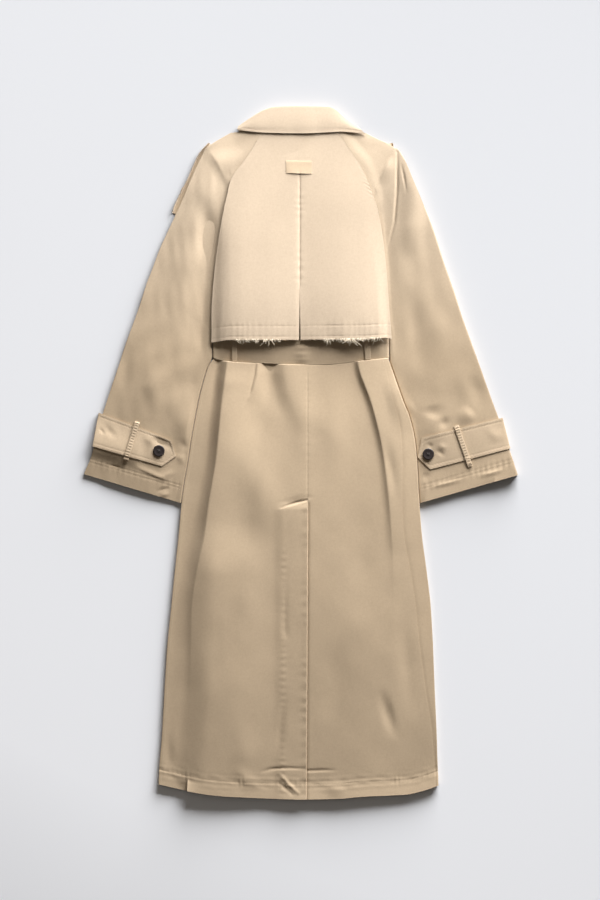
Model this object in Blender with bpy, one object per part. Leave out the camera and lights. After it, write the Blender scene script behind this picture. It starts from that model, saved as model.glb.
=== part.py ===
"""Duster coat lying flat on a surface, back up, collar toward +Y.

Every piece is a thin wall of cloth. Sizes in this script are millimetres until
a mesh is made. X is across the coat, Y runs from hem to collar, Z is up.
The names left and right are the wearer's: the wearer's left is at -X.
"""
import math

import bpy
import numpy as np

# Driving sizes
MM = 0.001
WALL = 1.4
TRIM = 1.0
GAP = 0.3
STEP = WALL + GAP
BACK_TOP = 6.5
HEM_LOW = -623.3
HEM_CURVE_START = -500.0
FRONT_HEM_RISE = 2.5
NECK_SEAM_Y = 579.0
FRONT_NECK_Y = 539.0
ARMPIT_Y = 270.0
ARMHOLE_Y = 330.0
CENTRE_X = 13.5
VENT_HEM_X = 10.6
VENT_TOP_Y = -86.0
VENT_UNDERLAY_Y = -104.0
VENT_UNDERLAY_X = -28.0
FRONT_OVERLAP = 70.0
FRONT_RAMP = (4.0, 22.0)
BELT_TOP_Y = 206.0
BELT_ROOM = 2.3
SEAM_ROOM = 0.4
BUTTON_RADIUS = 10.5
BUTTON_THICKNESS = 3.0

CLOTH = ("duster_cloth", (0.50, 0.40, 0.29), 0.9)
CLOTH_SHADE = ("duster_cloth_front", (0.45, 0.36, 0.26), 0.9)
TRIM_CLOTH = ("trim_cloth", (0.47, 0.37, 0.27), 0.9)
FRAY = ("frayed_thread", (0.62, 0.53, 0.41), 0.95)
BUTTON = ("dark_button", (0.02, 0.012, 0.012), 0.35)


def table(names, *rows):
    """Named columns of numbers, a row for each section or point."""
    return dict(zip(names.split(), np.array(rows, float).T))


def at(columns, name, y):
    """A column read at y, straight between the rows."""
    order = np.argsort(columns["y"])
    return np.interp(y, columns["y"][order], columns[name][order])


def ease(value):
    """Smooth step from 0 to 1."""
    t = np.clip(value, 0.0, 1.0)
    return t * t * (3.0 - 2.0 * t)


# Side edges of the body: raglan seams above the armpit, side folds below it
EDGE = table(
    "y left right",
    (579, -66.0, 66.0),
    (560, -77.5, 78.5),
    (539, -90.0, 92.5),
    (516, -107.0, 108.5),
    (494, -122.5, 119.5),
    (470, -129.5, 128.5),
    (433, -134.0, 140.5),
    (388, -141.0, 145.5),
    (330, -148.0, 150.5),
    (270, -152.5, 154.5),
    (230, -154.5, 156.5),
    (208, -155.0, 157.5),
    (170, -156.0, 159.0),
    (158, -163.0, 162.5),
    (138, -170.5, 169.5),
    (95, -181.8, 184.5),
    (60, -188.7, 198.0),
    (22, -195.3, 206.5),
    (-20, -201.7, 210.8),
    (-55, -208.0, 212.5),
    (-91, -213.0, 214.8),
    (-150, -218.5, 219.5),
    (-210, -225.0, 227.5),
    (-280, -232.0, 235.5),
    (-350, -239.0, 239.4),
    (-430, -244.0, 242.5),
    (-510, -248.5, 246.0),
    (-570, -252.5, 247.5),
    (-623.3, -254.5, 249.0),
)
EXTRA_ROWS = (149.0, 120.0, -98.0, -104.0, -605.0)

# How far the front comes round each side onto the back, up to the side seam
SIDE_SEAM = table(
    "y left right",
    (579, 5, 10),
    (170, 5, 10),
    (95, 5, 18),
    (0, 5, 26),
    (-143, 5, 33),
    (-219, 5, 29.5),
    (-321, 5, 26),
    (-424, 5, 17),
    (-510, 5, 8),
    (-623.3, 5, 5),
)

# Hem line, as a height for each place across the coat
HEM = table(
    "y low",
    (-254, -596.7),
    (-205, -607.5),
    (-164, -614.7),
    (-124, -618.3),
    (-20, -622.8),
    (11, -623.3),
    (72, -621.9),
    (113, -618.3),
    (191, -614.7),
    (223, -607.5),
    (249, -598.5),
)

# Lines of the folds that hang from the belt, and the height of each
FOLD_LEFT = table(
    "y x height",
    (579, -50, 0),
    (433, -104, 0),
    (270, -126, 0),
    (158, -134, 0),
    (149, -135, 8.5),
    (120, -138.5, 9),
    (60, -145.5, 6.5),
    (-20, -156, 5),
    (-91, -164.5, 4.2),
    (-210, -179, 3.2),
    (-350, -193, 2.0),
    (-510, -200, 1.0),
    (-623.3, -204, 0.8),
)
FOLD_TUCK = table(
    "y x height",
    (579, -36, 0),
    (433, -66, 0),
    (270, -76, 0),
    (158, -78.5, 0),
    (149, -79.5, 7),
    (120, -85, 7),
    (95, -89.5, 3),
    (60, -93, 0),
    (-623.3, -106, 0),
)
FOLD_MIDDLE = table(
    "y x height",
    (579, -18, 0),
    (270, -38, 0),
    (158, -39.5, 0),
    (149, -38.5, 3),
    (95, -31, 2.6),
    (22, -22, 1.6),
    (-55, -26, 0),
    (-91, -28.5, 0),
    (-623.3, -28.5, 0),
)
FOLD_RIGHT = table(
    "y x height",
    (579, 42, 0),
    (433, 92, 0),
    (270, 100, 0),
    (158, 104, 0),
    (149, 107, 8.5),
    (95, 122, 8.5),
    (60, 132.5, 7),
    (22, 144, 6),
    (-20, 150, 5.2),
    (-91, 160, 4.2),
    (-150, 164.5, 2.6),
    (-210, 167.5, 1.0),
    (-350, 169.5, 0.6),
    (-623.3, 175, 0.6),
)
# fold, side that is high, reach of the high side
BACK_FOLDS = (
    (FOLD_LEFT, 1.0, 36.0),
    (FOLD_TUCK, -1.0, 24.0),
    (FOLD_MIDDLE, 1.0, 30.0),
    (FOLD_RIGHT, 1.0, 34.0),
)
FOLD_EDGE = 2.5

# Storm flap: how far its free side edges stand out past the body's edge
FLAP = table(
    "y left right",
    (579, 0, 0),
    (494, 0, 0),
    (470, 0, 0),
    (433, 3.5, 0),
    (388, 4.6, 3.4),
    (330, 5.4, 4.8),
    (270, 5.8, 5.2),
    (215, 4.2, 6.4),
    (200, 4.0, 7.0),
)
FLAP_SEWN_TO = {"left": 480.0, "right": 440.0}
FLAP_CENTRE_X = -0.4
FLAP_SLIT = table("y half", (579, 0.15), (290, 0.15), (240, 0.5), (198, 1.3))
FLAP_LOW = table(
    "y low",
    (-160, 198.0),
    (-123, 202.0),
    (0, 202.5),
    (115, 204.0),
    (157, 206.0),
    (166, 203.0),
)
FLAP_RISE = 3.5

# Belt: lower edge for each place across the coat
BELT_LOW = table(
    "y low",
    (-160, 171.0),
    (-135, 165.0),
    (-77, 161.0),
    (13, 158.6),
    (54, 158.8),
    (103, 164.5),
    (163, 171.0),
)

# Sleeves: y of a section's inner end, place of its outer end, height of its underside
SLEEVE = {
    "left": table(
        "y out_x out_y lift",
        (579, -124.2, 575.0, 2.6),
        (560, -140.4, 566.1, 2.6),
        (539, -153.9, 558.0, 2.6),
        (516, -164.7, 550.8, 2.6),
        (494, -171.0, 544.5, 2.6),
        (470, -178.2, 530.1, 2.6),
        (433, -192.6, 499.5, 2.6),
        (388, -209.7, 458.1, 2.6),
        (330, -232.2, 409.5, 2.6),
        (270, -252.9, 364.5, 0),
        (230, -266.4, 328.5, 0),
        (208, -275.4, 305.1, 0),
        (170, -288.0, 266.0, 0),
        (158, -297.0, 240.0, 0),
        (138, -307.8, 211.5, 0),
        (95, -327.6, 152.1, 0),
        (60, -343.8, 103.5, 1.7),
        (22, -354.6, 69.3, 1.7),
        (-20, -362.7, 36.9, 1.7),
        (-55, -375.3, -6.3, 1.7),
        (-91, -388.8, -38.7, 0),
    ),
    "right": table(
        "y out_x out_y lift",
        (579, 118.8, 574.2, 2.6),
        (560, 140.4, 563.4, 2.6),
        (539, 156.6, 556.2, 2.6),
        (516, 165.6, 550.8, 2.6),
        (494, 174.6, 546.3, 2.6),
        (470, 181.8, 538.2, 2.6),
        (433, 190.8, 521.1, 2.6),
        (388, 203.4, 490.5, 2.6),
        (330, 221.4, 447.3, 2.6),
        (270, 239.4, 402.3, 0),
        (230, 253.8, 357.3, 0),
        (208, 262.8, 330.3, 0),
        (170, 274.5, 297.0, 0),
        (158, 280.8, 278.1, 0),
        (138, 289.8, 249.3, 0),
        (95, 307.8, 198.9, 0),
        (60, 325.8, 148.5, 1.7),
        (22, 343.8, 98.1, 1.7),
        (-20, 363.6, 44.1, 1.7),
        (-55, 379.8, -4.5, 1.7),
        (-91, 391.5, -40.5, 0),
    ),
}
SLEEVE_TOP_AT = (0.10, 0.22, 0.36, 0.50, 0.64, 0.78, 0.90)
SLEEVE_UNDER_AT = (0.85, 0.55, 0.25)

# Folds of the sleeves: line from start to end, its height there, high side, reach
SLEEVE_FOLDS = {
    "left": (
        ((-164, 545, 0.5), (-140, 508, 3.5), (-130, 482, 0), 1, 22),
        ((-176, 460, 0), (-168, 405, 3.0), (-172, 350, 0), -1, 26),
        ((-262, 150, 0), (-270, 118, 2.5), (-262, 85, 0), 1, 24),
        ((-300, -34, 0), (-258, -56, 2.0), (-228, -68, 0), 1, 9),
    ),
    "right": (
        ((166, 540, 0.5), (152, 508, 3.0), (139, 482, 0), -1, 20),
        ((175, 536, 0.5), (172, 420, 4.0), (157, 362, 0), 1, 24),
        ((184, 520, 0), (188, 490, 2.2), (193, 460, 0), 1, 14),
        ((186, 92, 0), (194, 74, 3.0), (203, 58, 0), 1, 16),
        ((256, 58, 0), (262, 50, 2.5), (268, 42, 0), 1, 16),
    ),
}

# Collar: fold line, free edge of the leaf, height of the fold above and below
COLLAR = table(
    "y fold_x fold_y edge_x edge_y top under",
    (0, -111, 586.5, -113, 580.0, 9.9, 5.1),
    (1, -99, 595.0, -101, 578.3, 10.2, 3.6),
    (2, -83, 605.7, -85, 576.6, 10.8, 2.2),
    (3, -65, 616.0, -64, 574.9, 11.2, 1.7),
    (4, -45, 621.6, -42, 574.2, 11.4, 1.7),
    (5, -20, 622.8, -18, 573.7, 11.4, 1.7),
    (6, 10, 622.8, 10, 573.6, 11.4, 1.7),
    (7, 35, 622.6, 36, 574.6, 11.4, 1.7),
    (8, 54, 621.6, 58, 575.8, 11.4, 1.7),
    (9, 66, 615.5, 74, 576.6, 11.2, 1.7),
    (10, 78, 604.5, 88, 575.8, 10.8, 2.2),
    (11, 92, 593.5, 104, 574.0, 10.2, 3.6),
    (12, 104, 586.0, 118, 572.0, 9.9, 5.1),
)
STAND_Y = 581.4
COLLAR_POINT = ((-58, 615), (-110, 585), (-104, 492), (-22, 566))

# Cuff straps: outer fold and end of the upper layer, across the strap
CUFF_STRAP = {
    "left": table(
        "y out_x out_y end_x end_y",
        (0.00, -362.2, 71.6, -231.8, 22.1),
        (0.28, -365.3, 54.7, -226.6, 6.0),
        (0.55, -368.2, 38.4, -222.7, -6.3),
        (0.78, -370.7, 24.5, -234.5, -15.0),
        (1.00, -373.1, 11.2, -248.4, -24.7),
    ),
    "right": table(
        "y out_x out_y end_x end_y",
        (0.00, 364.3, 62.6, 218.9, 26.5),
        (0.28, 368.2, 47.1, 215.2, 8.0),
        (0.55, 372.0, 32.2, 211.9, -8.8),
        (0.78, 375.1, 19.5, 222.0, -19.0),
        (1.00, 378.2, 7.4, 234.4, -30.4),
    ),
}
STRAP_UNDER_X = {"left": -222.0, "right": 224.0}
STRAP_LOOP = {
    "left": ((-292.3, 53.3), (-312.7, -12.8)),
    "right": ((281.7, 45.4), (304.9, -21.8)),
}
STRAP_LOOP_WIDTH = 9.0
CUFF_BUTTON = {"left": (-253.4, 2.9), "right": (230.6, -2.9)}

# Epaulettes on the front: outer edge, from the neck to the sleeve head
EPAULETTE = {
    "left": ((-163.8, 557.0), (-180.0, 539.0), (-203.4, 489.0), (-225.0, 445.0), (-229.5, 431.0)),
    "right": ((166.5, 557.0), (170.0, 536.0), (184.0, 496.0), (203.0, 452.0), (207.5, 439.0)),
}
EPAULETTE_WIDTH = 40.0
EPAULETTE_Z = 1.3
EPAULETTE_LOOP = {"left": (-210.5, 477.0), "right": (190.0, 486.0)}
EPAULETTE_LOOP_WIDTH = 9.0

# Belt loops and neck tab
BELT_LOOP = {"left": (-122.4, -112.9), "right": (116.2, 126.5)}
NECK_TAB = (-25.2, 20.7, 502.2, 525.6)

# Frayed threads along the flap's lower edge: first and last x, number, longest
FRAY_RUN = {"left": (-112.0, -36.0, 21, 12.0), "right": (44.0, 144.0, 27, 9.0)}


def clear_scene():
    for item in list(bpy.data.objects):
        bpy.data.objects.remove(item, do_unlink=True)


def material(spec):
    """Principled material of a named finish, made once."""
    name, colour, roughness = spec
    if name in bpy.data.materials:
        return bpy.data.materials[name]
    made = bpy.data.materials.new(name)
    made.use_nodes = True
    shader = made.node_tree.nodes["Principled BSDF"]
    shader.inputs["Base Color"].default_value = (*colour, 1.0)
    shader.inputs["Roughness"].default_value = roughness
    shader.inputs["Metallic"].default_value = 0.0
    return made


def volume(points, faces):
    """Signed volume of a closed mesh, by fans from the origin."""
    total = 0.0
    for face in faces:
        a = points[face[0]]
        for i in range(1, len(face) - 1):
            total += float(np.dot(a, np.cross(points[face[i]], points[face[i + 1]])))
    return total / 6.0


def add_solid(name, points, faces, finish):
    """One closed body with its faces pointing out."""
    points = np.asarray(points, float) * MM
    if volume(points, faces) < 0.0:
        faces = [tuple(reversed(face)) for face in faces]
    used = sorted({i for face in faces for i in face})
    place = {old: new for new, old in enumerate(used)}
    mesh = bpy.data.meshes.new(name)
    mesh.from_pydata(
        [tuple(points[i]) for i in used], [], [tuple(place[i] for i in face) for face in faces]
    )
    mesh.materials.append(material(finish))
    mesh.validate()
    item = bpy.data.objects.new(name, mesh)
    bpy.context.scene.collection.objects.link(item)
    mesh.shade_smooth()
    mesh.set_sharp_from_angle(angle=math.radians(40.0))
    return item


def add_sheet(name, outer, inner, finish, keep=None):
    """A cloth wall between two grids of points; keep says which cells exist."""
    rows, columns, _ = outer.shape
    if keep is None:
        keep = np.ones((rows - 1, columns - 1), bool)
    count = rows * columns
    points = np.concatenate((outer.reshape(-1, 3), inner.reshape(-1, 3)))
    faces = []
    edges = {}
    for r in range(rows - 1):
        for c in range(columns - 1):
            if not keep[r, c]:
                continue
            a = r * columns + c
            quad = (a, a + 1, a + columns + 1, a + columns)
            faces.append(quad)
            faces.append(tuple(i + count for i in reversed(quad)))
            for i in range(4):
                edge = (quad[i], quad[(i + 1) % 4])
                if edge[::-1] in edges:
                    del edges[edge[::-1]]
                else:
                    edges[edge] = True
    for a, b in edges:
        faces.append((b, a, a + count, b + count))
    return add_solid(name, points, faces, finish)


def grid_normals(grid):
    """Unit normals of a grid of points, along rows crossed with columns."""
    along = np.gradient(grid, axis=0)
    across = np.gradient(grid, axis=1)
    normal = np.cross(across, along)
    length = np.linalg.norm(normal, axis=2, keepdims=True)
    normal = normal / np.maximum(length, 1e-9)
    return np.where(normal[..., 2:] < 0.0, -normal, normal)


def panel_inner(outer, wall=WALL):
    """Lower side of a lying panel: straight down at its edges, square to it inside."""
    normal = grid_normals(outer)
    flat = np.array((0.0, 0.0, 1.0))
    normal[0, :] = flat
    normal[-1, :] = flat
    normal[:, 0] = flat
    normal[:, -1] = flat
    return outer - wall * normal


def section_inner(section, wall=WALL):
    """Points of a section (s, z) moved to its right-hand side by the wall."""
    step = np.gradient(section, axis=0)
    step /= np.maximum(np.linalg.norm(step, axis=1, keepdims=True), 1e-9)
    return section + wall * np.stack((step[:, 1], -step[:, 0]), axis=1)


def half_round(centre, radius, count, start=90.0, sweep=-180.0):
    """Points of a half circle in a section, its ends left out."""
    angles = np.radians(start + sweep * np.arange(1, count + 1) / (count + 1))
    return [(centre[0] + radius * math.cos(a), centre[1] + radius * math.sin(a)) for a in angles]


def hem_place(x, y):
    """y of a point near the hem, moved onto the hem's curve."""
    low = np.interp(x, HEM["y"], HEM["low"])
    share = ease((HEM_CURVE_START - y) / (HEM_CURVE_START - HEM_LOW))
    return y + (low - HEM_LOW) * share


def belt_low(x):
    return np.interp(x, BELT_LOW["y"], BELT_LOW["low"])


def body_rows(top):
    rows = sorted(set(EDGE["y"]) | set(EXTRA_ROWS), reverse=True)
    return np.array([y for y in rows if y <= top])


def edge_x(side, y):
    return at(EDGE, side, y)


def seam_x(side, y):
    """Where the front's turned side ends on the back."""
    if side == "left":
        return edge_x(side, y) + at(SIDE_SEAM, side, y)
    return edge_x(side, y) - at(SIDE_SEAM, side, y)


def front_lift(y):
    """Height of the fronts' underside: over the belt, and over the collar points."""
    belt = ease((230.0 - y) / 20.0) * ease((y - 138.0) / 18.0)
    collar = ease((y - 433.0) / 30.0)
    return STEP * np.maximum(belt, collar)


def centre_x(y):
    """Centre back seam, and the vent's edge below it."""
    share = np.clip((VENT_TOP_Y - y) / (VENT_TOP_Y - HEM_LOW), 0.0, 1.0)
    return CENTRE_X + (VENT_HEM_X - CENTRE_X) * share


def fold_height(x, y):
    """Height that the belt's folds add to the back at a point."""
    total = 0.0
    for columns, side, reach in BACK_FOLDS:
        off = side * (x - at(columns, "x", y))
        rise = ease((off + FOLD_EDGE) / (2.0 * FOLD_EDGE))
        fall = 1.0 - ease((off - FOLD_EDGE) / reach)
        total += at(columns, "height", y) * rise * fall
    return total


def back_columns(side, y):
    """x of each column of a back panel at height y, from the side to the centre."""
    centre = float(centre_x(y))
    if side == "left":
        first = float(edge_x(side, y)) if y >= ARMHOLE_Y else float(seam_x(side, y)) + GAP
        fold = float(at(FOLD_LEFT, "x", y))
        tuck = float(at(FOLD_TUCK, "x", y))
        middle = float(at(FOLD_MIDDLE, "x", y))
        gap = 0.5 * (tuck - fold)
        lead = min(0.45 * (fold - first), 12.0)
        return [
            first, fold - lead, fold - FOLD_EDGE, fold + FOLD_EDGE, fold + 0.35 * gap, fold + 0.8 * gap,
            tuck - 0.45 * gap, tuck - FOLD_EDGE, tuck + FOLD_EDGE, 0.5 * (tuck + middle),
            middle - FOLD_EDGE, middle + FOLD_EDGE, 0.5 * (middle + centre) + 2.0, centre - 0.5 * GAP,
        ]
    last = float(edge_x(side, y)) if y >= ARMHOLE_Y else float(seam_x(side, y)) - GAP
    fold = float(at(FOLD_RIGHT, "x", y))
    reach = last - fold
    span = fold - centre
    return [
        VENT_UNDERLAY_X, centre + 0.5 * GAP, centre + 0.25 * span, centre + 0.5 * span,
        centre + 0.75 * span, fold - FOLD_EDGE, fold + min(FOLD_EDGE, 0.3 * reach),
        fold + 0.45 * reach, fold + 0.7 * reach, last,
    ]


def vent_rise(x, y):
    """The left back lies on the vent's underlay."""
    across = ease((x + 42.0) / 11.0)
    down = ease((VENT_TOP_Y - 0.5 - y) / 11.0)
    return STEP * across * down


def make_back(side):
    rows = body_rows(NECK_SEAM_Y)
    columns = np.array([back_columns(side, y) for y in rows])
    y = np.repeat(rows[:, None], columns.shape[1], axis=1)
    z = BACK_TOP + fold_height(columns, y)
    keep = np.ones((len(rows) - 1, columns.shape[1] - 1), bool)
    if side == "left":
        z = z + vent_rise(columns, y)
    else:
        keep[:, 0] = rows[:-1] <= VENT_UNDERLAY_Y
    outer = np.stack((columns, hem_place(columns, y), z), axis=2)
    add_sheet("back_" + side, outer, panel_inner(outer), CLOTH, keep)


def front_section(side, y):
    """Outer points (x, z) of a front at height y, from its free edge round the side."""
    sign = -1.0 if side == "left" else 1.0
    edge = sign * float(edge_x(side, y))
    overlap = min(FRONT_OVERLAP, 0.55 * edge)
    lift = float(front_lift(y))
    low = lift
    top = BACK_TOP
    radius = 0.5 * (top - low)
    closed = y <= ARMPIT_Y
    last = edge - radius if closed else edge
    if side == "left":
        far, near = overlap + FRONT_RAMP[1], overlap + FRONT_RAMP[0]
        xs = [-overlap, 0.0, near, far, far + 0.5 * (last - far), last]
        zs = [low + STEP, low + STEP, low + STEP, low, low, low]
    else:
        xs = [-overlap, 0.0, overlap, overlap + 20.0, 0.5 * (last + overlap + 20.0), last]
        zs = [low] * 6
    points = list(zip(xs, zs))
    seam = edge - float(at(SIDE_SEAM, side, y))
    middle = 0.5 * (top + low)
    points += half_round((edge - radius, middle), radius, 4, -90.0, 180.0)
    points += [(edge - radius, top), (min(seam, edge - radius - 1.2), top)]
    return np.array(points)


def make_front(side):
    sign = -1.0 if side == "left" else 1.0
    rows = body_rows(FRONT_NECK_Y)
    outer = []
    inner = []
    for y in rows:
        section = front_section(side, y)
        flat = 6
        step = np.gradient(section, axis=0)
        step /= np.linalg.norm(step, axis=1, keepdims=True)
        moved = section + WALL * np.stack((-step[:, 1], step[:, 0]), axis=1)
        if y > ARMPIT_Y:
            moved[: flat] = section[: flat] + (0.0, WALL)
        moved[0] = section[0] + (0.0, WALL)
        moved[-1] = section[-1] - (0.0, WALL)
        place = hem_place(sign * section[:, 0], np.full(len(section), y))
        rise = FRONT_HEM_RISE * ease((HEM_CURVE_START - y) / (HEM_CURVE_START - HEM_LOW))
        on_back = np.arange(len(section)) >= flat
        place = place + np.where(on_back, 0.0, rise)
        outer.append(np.stack((sign * section[:, 0], place, section[:, 1]), axis=1))
        inner.append(np.stack((sign * moved[:, 0], place, moved[:, 1]), axis=1))
    outer = np.array(outer)
    inner = np.array(inner)
    keep = np.ones((len(rows) - 1, outer.shape[1] - 1), bool)
    keep[rows[:-1] > ARMPIT_Y, 5:] = False
    add_sheet("front_" + side, outer, inner, CLOTH_SHADE, keep)


def sleeve_room(y):
    """Room between the body's side and the sleeve: the belt lies there too."""
    return np.where((y >= 169.0) & (y <= 209.0), BELT_ROOM, SEAM_ROOM)


def line_fold(x, y, fold):
    """Height of a short fold at a point: highest at its middle, steep on one side."""
    total = 0.0
    start, middle, end, side, reach = fold
    points = np.array((start, middle, end), float)
    best = 1e9
    for a, b in ((0, 1), (1, 2)):
        along = points[b, :2] - points[a, :2]
        length = np.hypot(*along)
        share = np.clip(((x - points[a, 0]) * along[0] + (y - points[a, 1]) * along[1]) / length**2, 0, 1)
        dx = x - (points[a, 0] + share * along[0])
        dy = y - (points[a, 1] + share * along[1])
        distance = math.hypot(dx, dy)
        if distance >= best:
            continue
        best = distance
        turn = 1.0 if along[0] * dy - along[1] * dx > 0.0 else -1.0
        height = points[a, 2] + ease(share) * (points[b, 2] - points[a, 2])
        off = side * turn * distance
        total = height * ease((off + 4.0) / 8.0) * (1.0 - ease((off - 4.0) / reach))
    return total


def sleeve_section(side, row):
    """Outer points (s, z) of a sleeve, from the upper inner end round to the lower one."""
    columns = SLEEVE[side]
    y = columns["y"][row]
    room = float(sleeve_room(y))
    sign = -1.0 if side == "left" else 1.0
    start = np.array((float(edge_x(side, y)) + sign * room, y))
    end = np.array((columns["out_x"][row], columns["out_y"][row]))
    width = float(np.hypot(*(end - start)))
    across = (end - start) / width
    low = float(columns["lift"][row])
    radius = 0.5 * (BACK_TOP - low)
    middle = 0.5 * (BACK_TOP + low)
    sewn = float(ease((y - FLAP_SEWN_TO[side] + 12.0) / 20.0))
    points = []
    if y > ARMPIT_Y:
        ends = (0.0, 2.0, 5.0)
        points += [(s, BACK_TOP) for s in ends]
    else:
        points += [(0.0, middle + 0.25), (0.3 * radius, middle + 0.72 * radius), (radius, BACK_TOP)]
    points += [(width * share, BACK_TOP) for share in SLEEVE_TOP_AT]
    points += half_round((width - radius, middle), radius, 5)
    points += [(width * share, low) for share in SLEEVE_UNDER_AT]
    if y > ARMPIT_Y:
        points += [(5.0, low), (2.0, low), (0.0, low)]
    else:
        points += [(radius, low), (0.3 * radius, middle - 0.72 * radius), (0.0, middle - 0.25)]
    section = np.array(points)
    lifted = section.copy()
    for i in range(3 + len(SLEEVE_TOP_AT)):
        s = section[i, 0]
        place = start + s * across
        if section[i, 1] >= BACK_TOP - 0.01:
            fade = ease(s / 12.0) * ease((width - s) / 14.0)
            extra = sum(line_fold(place[0], place[1], fold) for fold in SLEEVE_FOLDS[side])
            lifted[i, 1] += extra * fade + STEP * sewn * (1.0 - ease((s - 4.0) / 22.0))
    return start, across, lifted


def make_sleeve(side):
    outer = []
    inner = []
    rows = len(SLEEVE[side]["y"])
    for row in range(rows):
        start, across, section = sleeve_section(side, row)
        moved = section_inner(section)
        if SLEEVE[side]["y"][row] > ARMPIT_Y:
            moved[0] = section[0] - (0.0, WALL)
            moved[-1] = section[-1] + (0.0, WALL)
        for target, points in ((outer, section), (inner, moved)):
            xy = start + points[:, :1] * across
            target.append(np.concatenate((xy, points[:, 1:]), axis=1))
    add_sheet("sleeve_" + side, np.array(outer), np.array(inner), CLOTH)


def flap_top(x, y, share):
    """Height of the flap: flat above, standing off the belt at its lower edge."""
    rise = FLAP_RISE * ease((300.0 - y) / 85.0)
    side_fall = 1.0 - 0.5 * ease((share - 0.86) / 0.14)
    return BACK_TOP + STEP + rise * side_fall


def flap_low(x):
    return np.interp(x, FLAP_LOW["y"], FLAP_LOW["low"])


def flap_grid(side):
    rows = (579, 560, 539, 516, 494, 470, 433, 388, 330, 290, 262, 240, 222, 211, 201)
    shares = (0.0, 0.18, 0.38, 0.58, 0.76, 0.9, 1.0)
    sign = -1.0 if side == "left" else 1.0
    grid = []
    for y in rows:
        slit = float(at(FLAP_SLIT, "half", y))
        first = FLAP_CENTRE_X + sign * slit
        last = float(edge_x(side, y)) + sign * float(at(FLAP, side, y))
        line = []
        for share in shares:
            x = first + share * (last - first)
            low = float(flap_low(x))
            place = y if y > 262 else 262 - (262 - y) * (262 - low) / (262 - 201)
            line.append((x, place, float(flap_top(x, y, share))))
        grid.append(line)
    return np.array(grid, float)


def make_flap(side):
    outer = flap_grid(side)
    inner = outer - (0.0, 0.0, WALL)
    add_sheet("storm_flap_" + side, outer, inner, CLOTH)


def make_collar():
    """The leaf, folded over at the top onto the stand that is sewn to the neck."""
    outer = []
    inner = []
    for i in range(len(COLLAR["y"])):
        fold = np.array((COLLAR["fold_x"][i], COLLAR["fold_y"][i]))
        edge = np.array((COLLAR["edge_x"][i], COLLAR["edge_y"][i]))
        top, under = COLLAR["top"][i], COLLAR["under"][i]
        radius = 0.5 * (top - under)
        reach = fold[1] - edge[1]
        round_from = reach - radius
        stand = fold[1] - STAND_Y
        points = [(0.0, top), (0.35 * round_from, top + 0.3), (0.7 * round_from, top + 0.2), (round_from, top)]
        points += half_round((round_from, 0.5 * (top + under)), radius, 4)
        points += [(round_from, under)]
        last = reach - stand
        middle = 0.5 * (round_from + last)
        if round_from - last > 6.0:
            points += [(middle, 0.5 * (under + 5.1)), (last, 5.1)]
        else:
            points += [(middle, under), (last, under)]
        section = np.array(points)
        moved = section_inner(section)
        for target, line in ((outer, section), (inner, moved)):
            share = line[:, 0] / reach
            x = edge[0] + share * (fold[0] - edge[0])
            target.append(np.stack((x, edge[1] + line[:, 0], line[:, 1]), axis=1))
    add_sheet("collar", np.array(outer), np.array(inner), CLOTH)


def make_collar_point(side):
    """Front end of the collar, flat under the fronts."""
    sign = 1.0 if side == "left" else -1.0
    corners = np.array(COLLAR_POINT, float)
    count = 5
    grid = np.zeros((count, count, 3))
    for i, u in enumerate(np.linspace(0.0, 1.0, count)):
        for j, v in enumerate(np.linspace(0.0, 1.0, count)):
            upper = corners[0] * (1 - u) + corners[1] * u
            lower = corners[3] * (1 - u) + corners[2] * u
            place = upper * (1 - v) + lower * v
            grid[i, j] = (sign * place[0], place[1], 0.0)
    if side == "right":
        grid[..., 0] *= 0.96
    add_sheet("collar_point_" + side, grid, grid + (0.0, 0.0, WALL), CLOTH_SHADE)


def make_belt():
    """A closed ring round the waist, outside the back and both fronts."""
    low = front_lift(184.0) - GAP - WALL
    top = BACK_TOP + GAP + WALL
    radius = 0.5 * (top - low)
    middle = 0.5 * (top + low)
    rows = 3
    shares = np.linspace(0.0, 1.0, 9)
    rounds = 5
    rings = []
    for outward in (GAP + WALL, GAP):
        reach = radius - (GAP + WALL - outward)
        lines = []
        for r in range(rows):
            share = r / (rows - 1)
            line = []
            for flip in (1.0, -1.0):
                for s in shares[:: int(flip)]:
                    lean_y = 190.0 - 14.0 * share
                    left = float(edge_x("left", lean_y)) - outward + reach
                    right = float(edge_x("right", lean_y)) + outward - reach
                    x = left + s * (right - left)
                    y = BELT_TOP_Y + share * (float(belt_low(x)) - BELT_TOP_Y)
                    line.append((x, y, middle + flip * reach))
                side_x = right if flip > 0 else left
                y = BELT_TOP_Y + share * (171.0 - BELT_TOP_Y)
                start = 90.0 if flip > 0 else -90.0
                for px, pz in half_round((side_x, middle), reach, rounds, start):
                    line.append((px, y, pz))
            lines.append(line)
        rings.append(np.array(lines))
    outer, inner = rings
    columns = outer.shape[1]
    points = np.concatenate((outer.reshape(-1, 3), inner.reshape(-1, 3)))
    count = rows * columns
    faces = []
    for r in range(rows - 1):
        for c in range(columns):
            a = r * columns + c
            b = r * columns + (c + 1) % columns
            faces.append((a, b, b + columns, a + columns))
            faces.append((a + count, a + columns + count, b + columns + count, b + count))
    for r, turn in ((0, 1), (rows - 1, -1)):
        for c in range(columns):
            a = r * columns + c
            b = r * columns + (c + 1) % columns
            quad = (b, a, a + count, b + count)
            faces.append(quad if turn > 0 else quad[::-1])
    add_solid("belt", points, faces, TRIM_CLOTH)


def add_band(name, profile, finish, wall=WALL):
    """A short band of cloth: (x, y, z) rows of its outer side, laid over what it holds."""
    outer = np.array(profile, float)
    add_sheet(name, outer, outer - (0.0, 0.0, wall), finish)


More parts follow.
